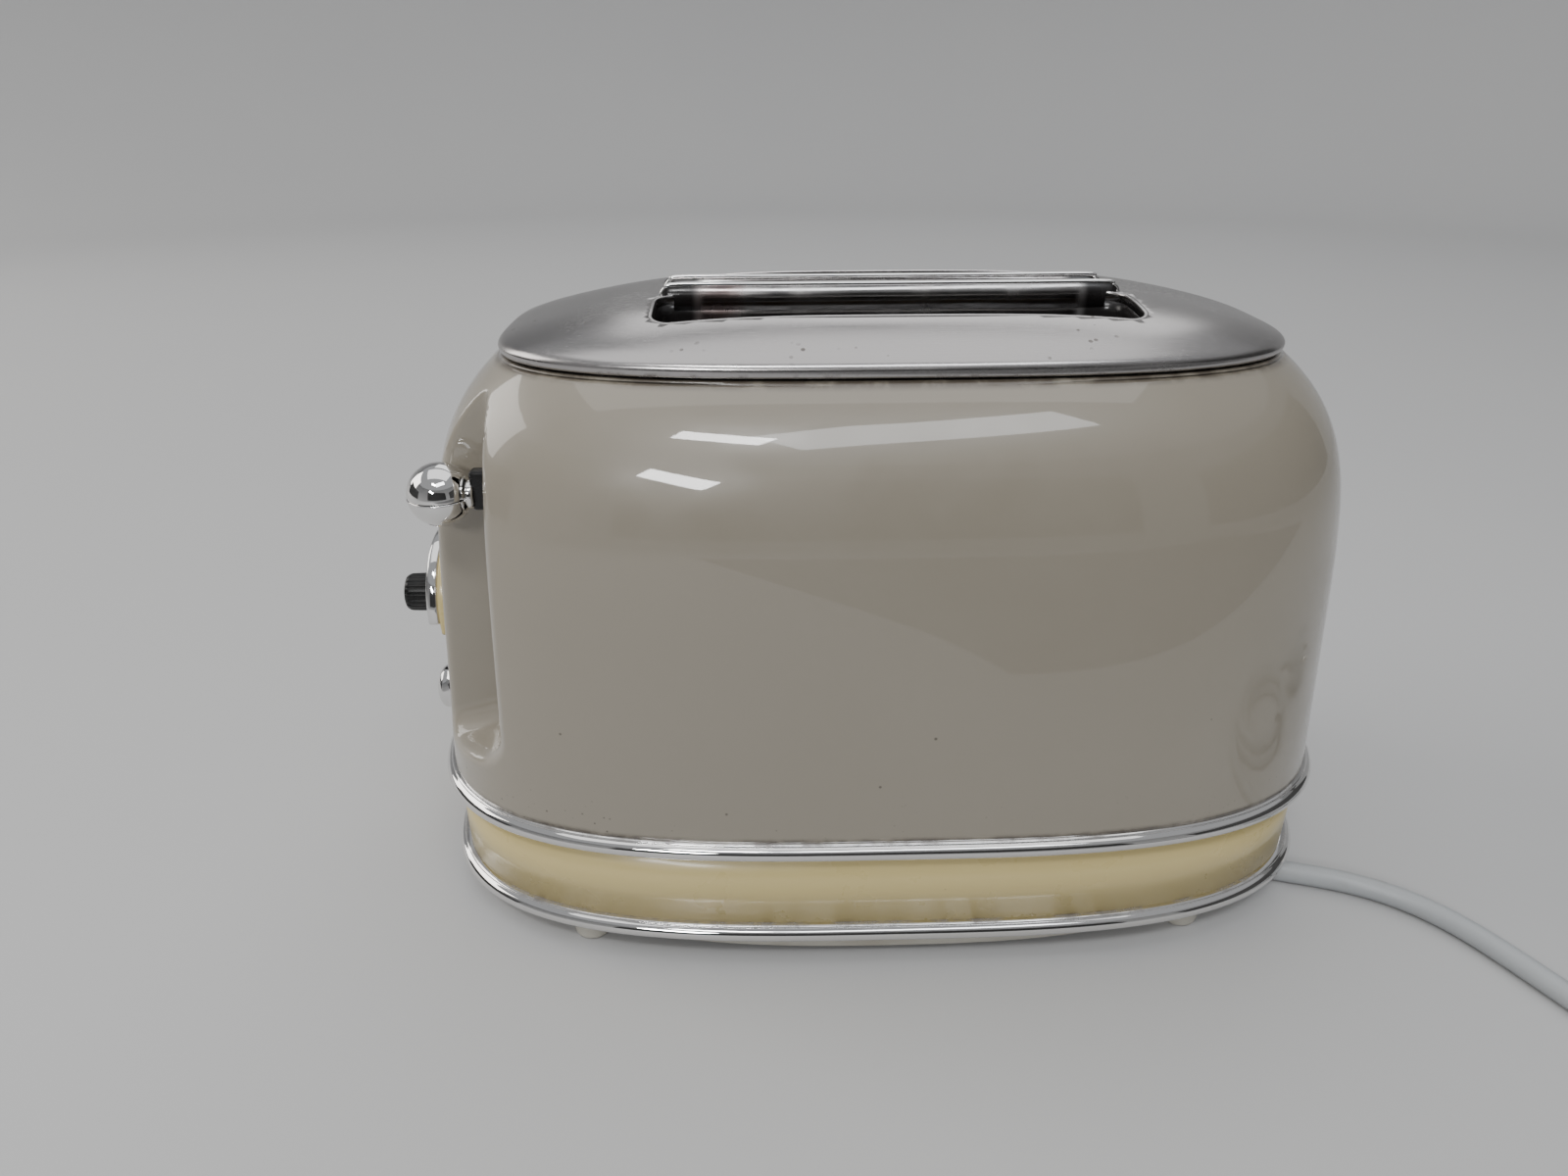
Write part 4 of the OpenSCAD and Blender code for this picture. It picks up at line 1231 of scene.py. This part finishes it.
def make_floor():
    """A floor that is flat around the toaster and rises far from it."""
    rows = []
    for k in range(41):
        r = 0.0005 + 3.4 * (k / 40)
        rise = 0.0 if r < FLAT_FLOOR_R else (r - FLAT_FLOOR_R) ** 2 * 1.1
        angles = [a * math.pi / 48 for a in range(96)]
        rows.append([(r * math.cos(a), r * math.sin(a), rise) for a in angles])
    floor = loft("floor", rows)
    p = Paint("floor_paper", (0.47, 0.47, 0.47), 0.7)
    p.base(p.mix(p.noise(3, 3), (0.46, 0.46, 0.465), (0.48, 0.48, 0.475)))
    floor.data.materials.append(p.mat)


def add_light(name, place, wide, high, power, color=(1, 1, 1), spin=0):
    """A soft light aimed at the toaster, turned about its own axis by spin degrees."""
    data = bpy.data.lights.new(name, "AREA")
    data.shape = "RECTANGLE"
    data.size = wide
    data.size_y = high
    data.energy = power
    data.color = color
    lamp = put_in_scene(name, data)
    aim = (Vector((0, 0, 0.12)) - Vector(place)).to_track_quat("-Z", "Y").to_matrix().to_4x4()
    lamp.matrix_world = Matrix.Translation(place) @ aim @ Matrix.Rotation(math.radians(spin), 4, "Z")
    lamp.visible_camera = False


def add_card(name, corners, tone):
    """A dark card that only shiny pieces mirror. The camera doesn't see it."""
    card = add_mesh(name, corners, [(0, 1, 2, 3)], smooth=False)
    p = Paint(name, (tone, tone, tone), 0.8)
    p.base(p.mix(p.noise(6), (tone * 0.8,) * 3, (tone * 1.2,) * 3))
    card.data.materials.append(p.mat)
    card.visible_camera = False
    card.visible_diffuse = False
    card.visible_shadow = False


def make_light():
    """A pale surround, soft lights at the windows' places, and the cards."""
    world = bpy.data.worlds.new("studio")
    world.use_nodes = True
    back = world.node_tree.nodes["Background"]
    back.inputs["Color"].default_value = (0.95, 0.97, 1.0, 1)
    back.inputs["Strength"].default_value = 0.42
    bpy.context.scene.world = world
    add_light("window_left", (-0.46, -1.34, 0.82), 0.38, 0.14, 6, spin=-28)
    add_light("window_high", (-0.26, -0.92, 1.36), 0.36, 0.13, 5, spin=-14)
    add_light("window_wide", (0.26, -0.84, 1.4), 0.8, 0.3, 4.5, (0.93, 0.96, 1), spin=16)
    add_light("ceiling", (0.0, 0.3, 2.4), 2.6, 1.8, 17)
    add_light("left_soft", (-2.0, 0.4, 1.1), 1.5, 1.3, 24, (1, 0.97, 0.93))
    add_light("rear_soft", (0.3, 1.7, 1.7), 2.0, 1.0, 9)
    cards = (
        ("front", 0.03, [(-0.9, -1.6, 0.1), (1.0, -1.6, 0.1), (1.0, -1.6, 0.9), (-0.9, -1.6, 0.9)]),
        ("left", 0.05, [(-1.0, -0.5, 0.1), (-1.0, 0.3, 0.1), (-1.0, 0.3, 0.45), (-1.0, -0.5, 0.45)]),
        ("right", 0.05, [(1.3, -1.3, 0.1), (1.3, 0.4, 0.1), (1.3, 0.4, 0.8), (1.3, -1.3, 0.8)]),
        ("floor", 0.12, [(-0.3, -1.2, 0.004), (1.2, -1.1, 0.004), (1.1, -0.2, 0.004), (0.1, -0.3, 0.004)]),
    )
    for label, tone, corners in cards:
        add_card(f"card_{label}", corners, tone)


make_floor()
make_light()
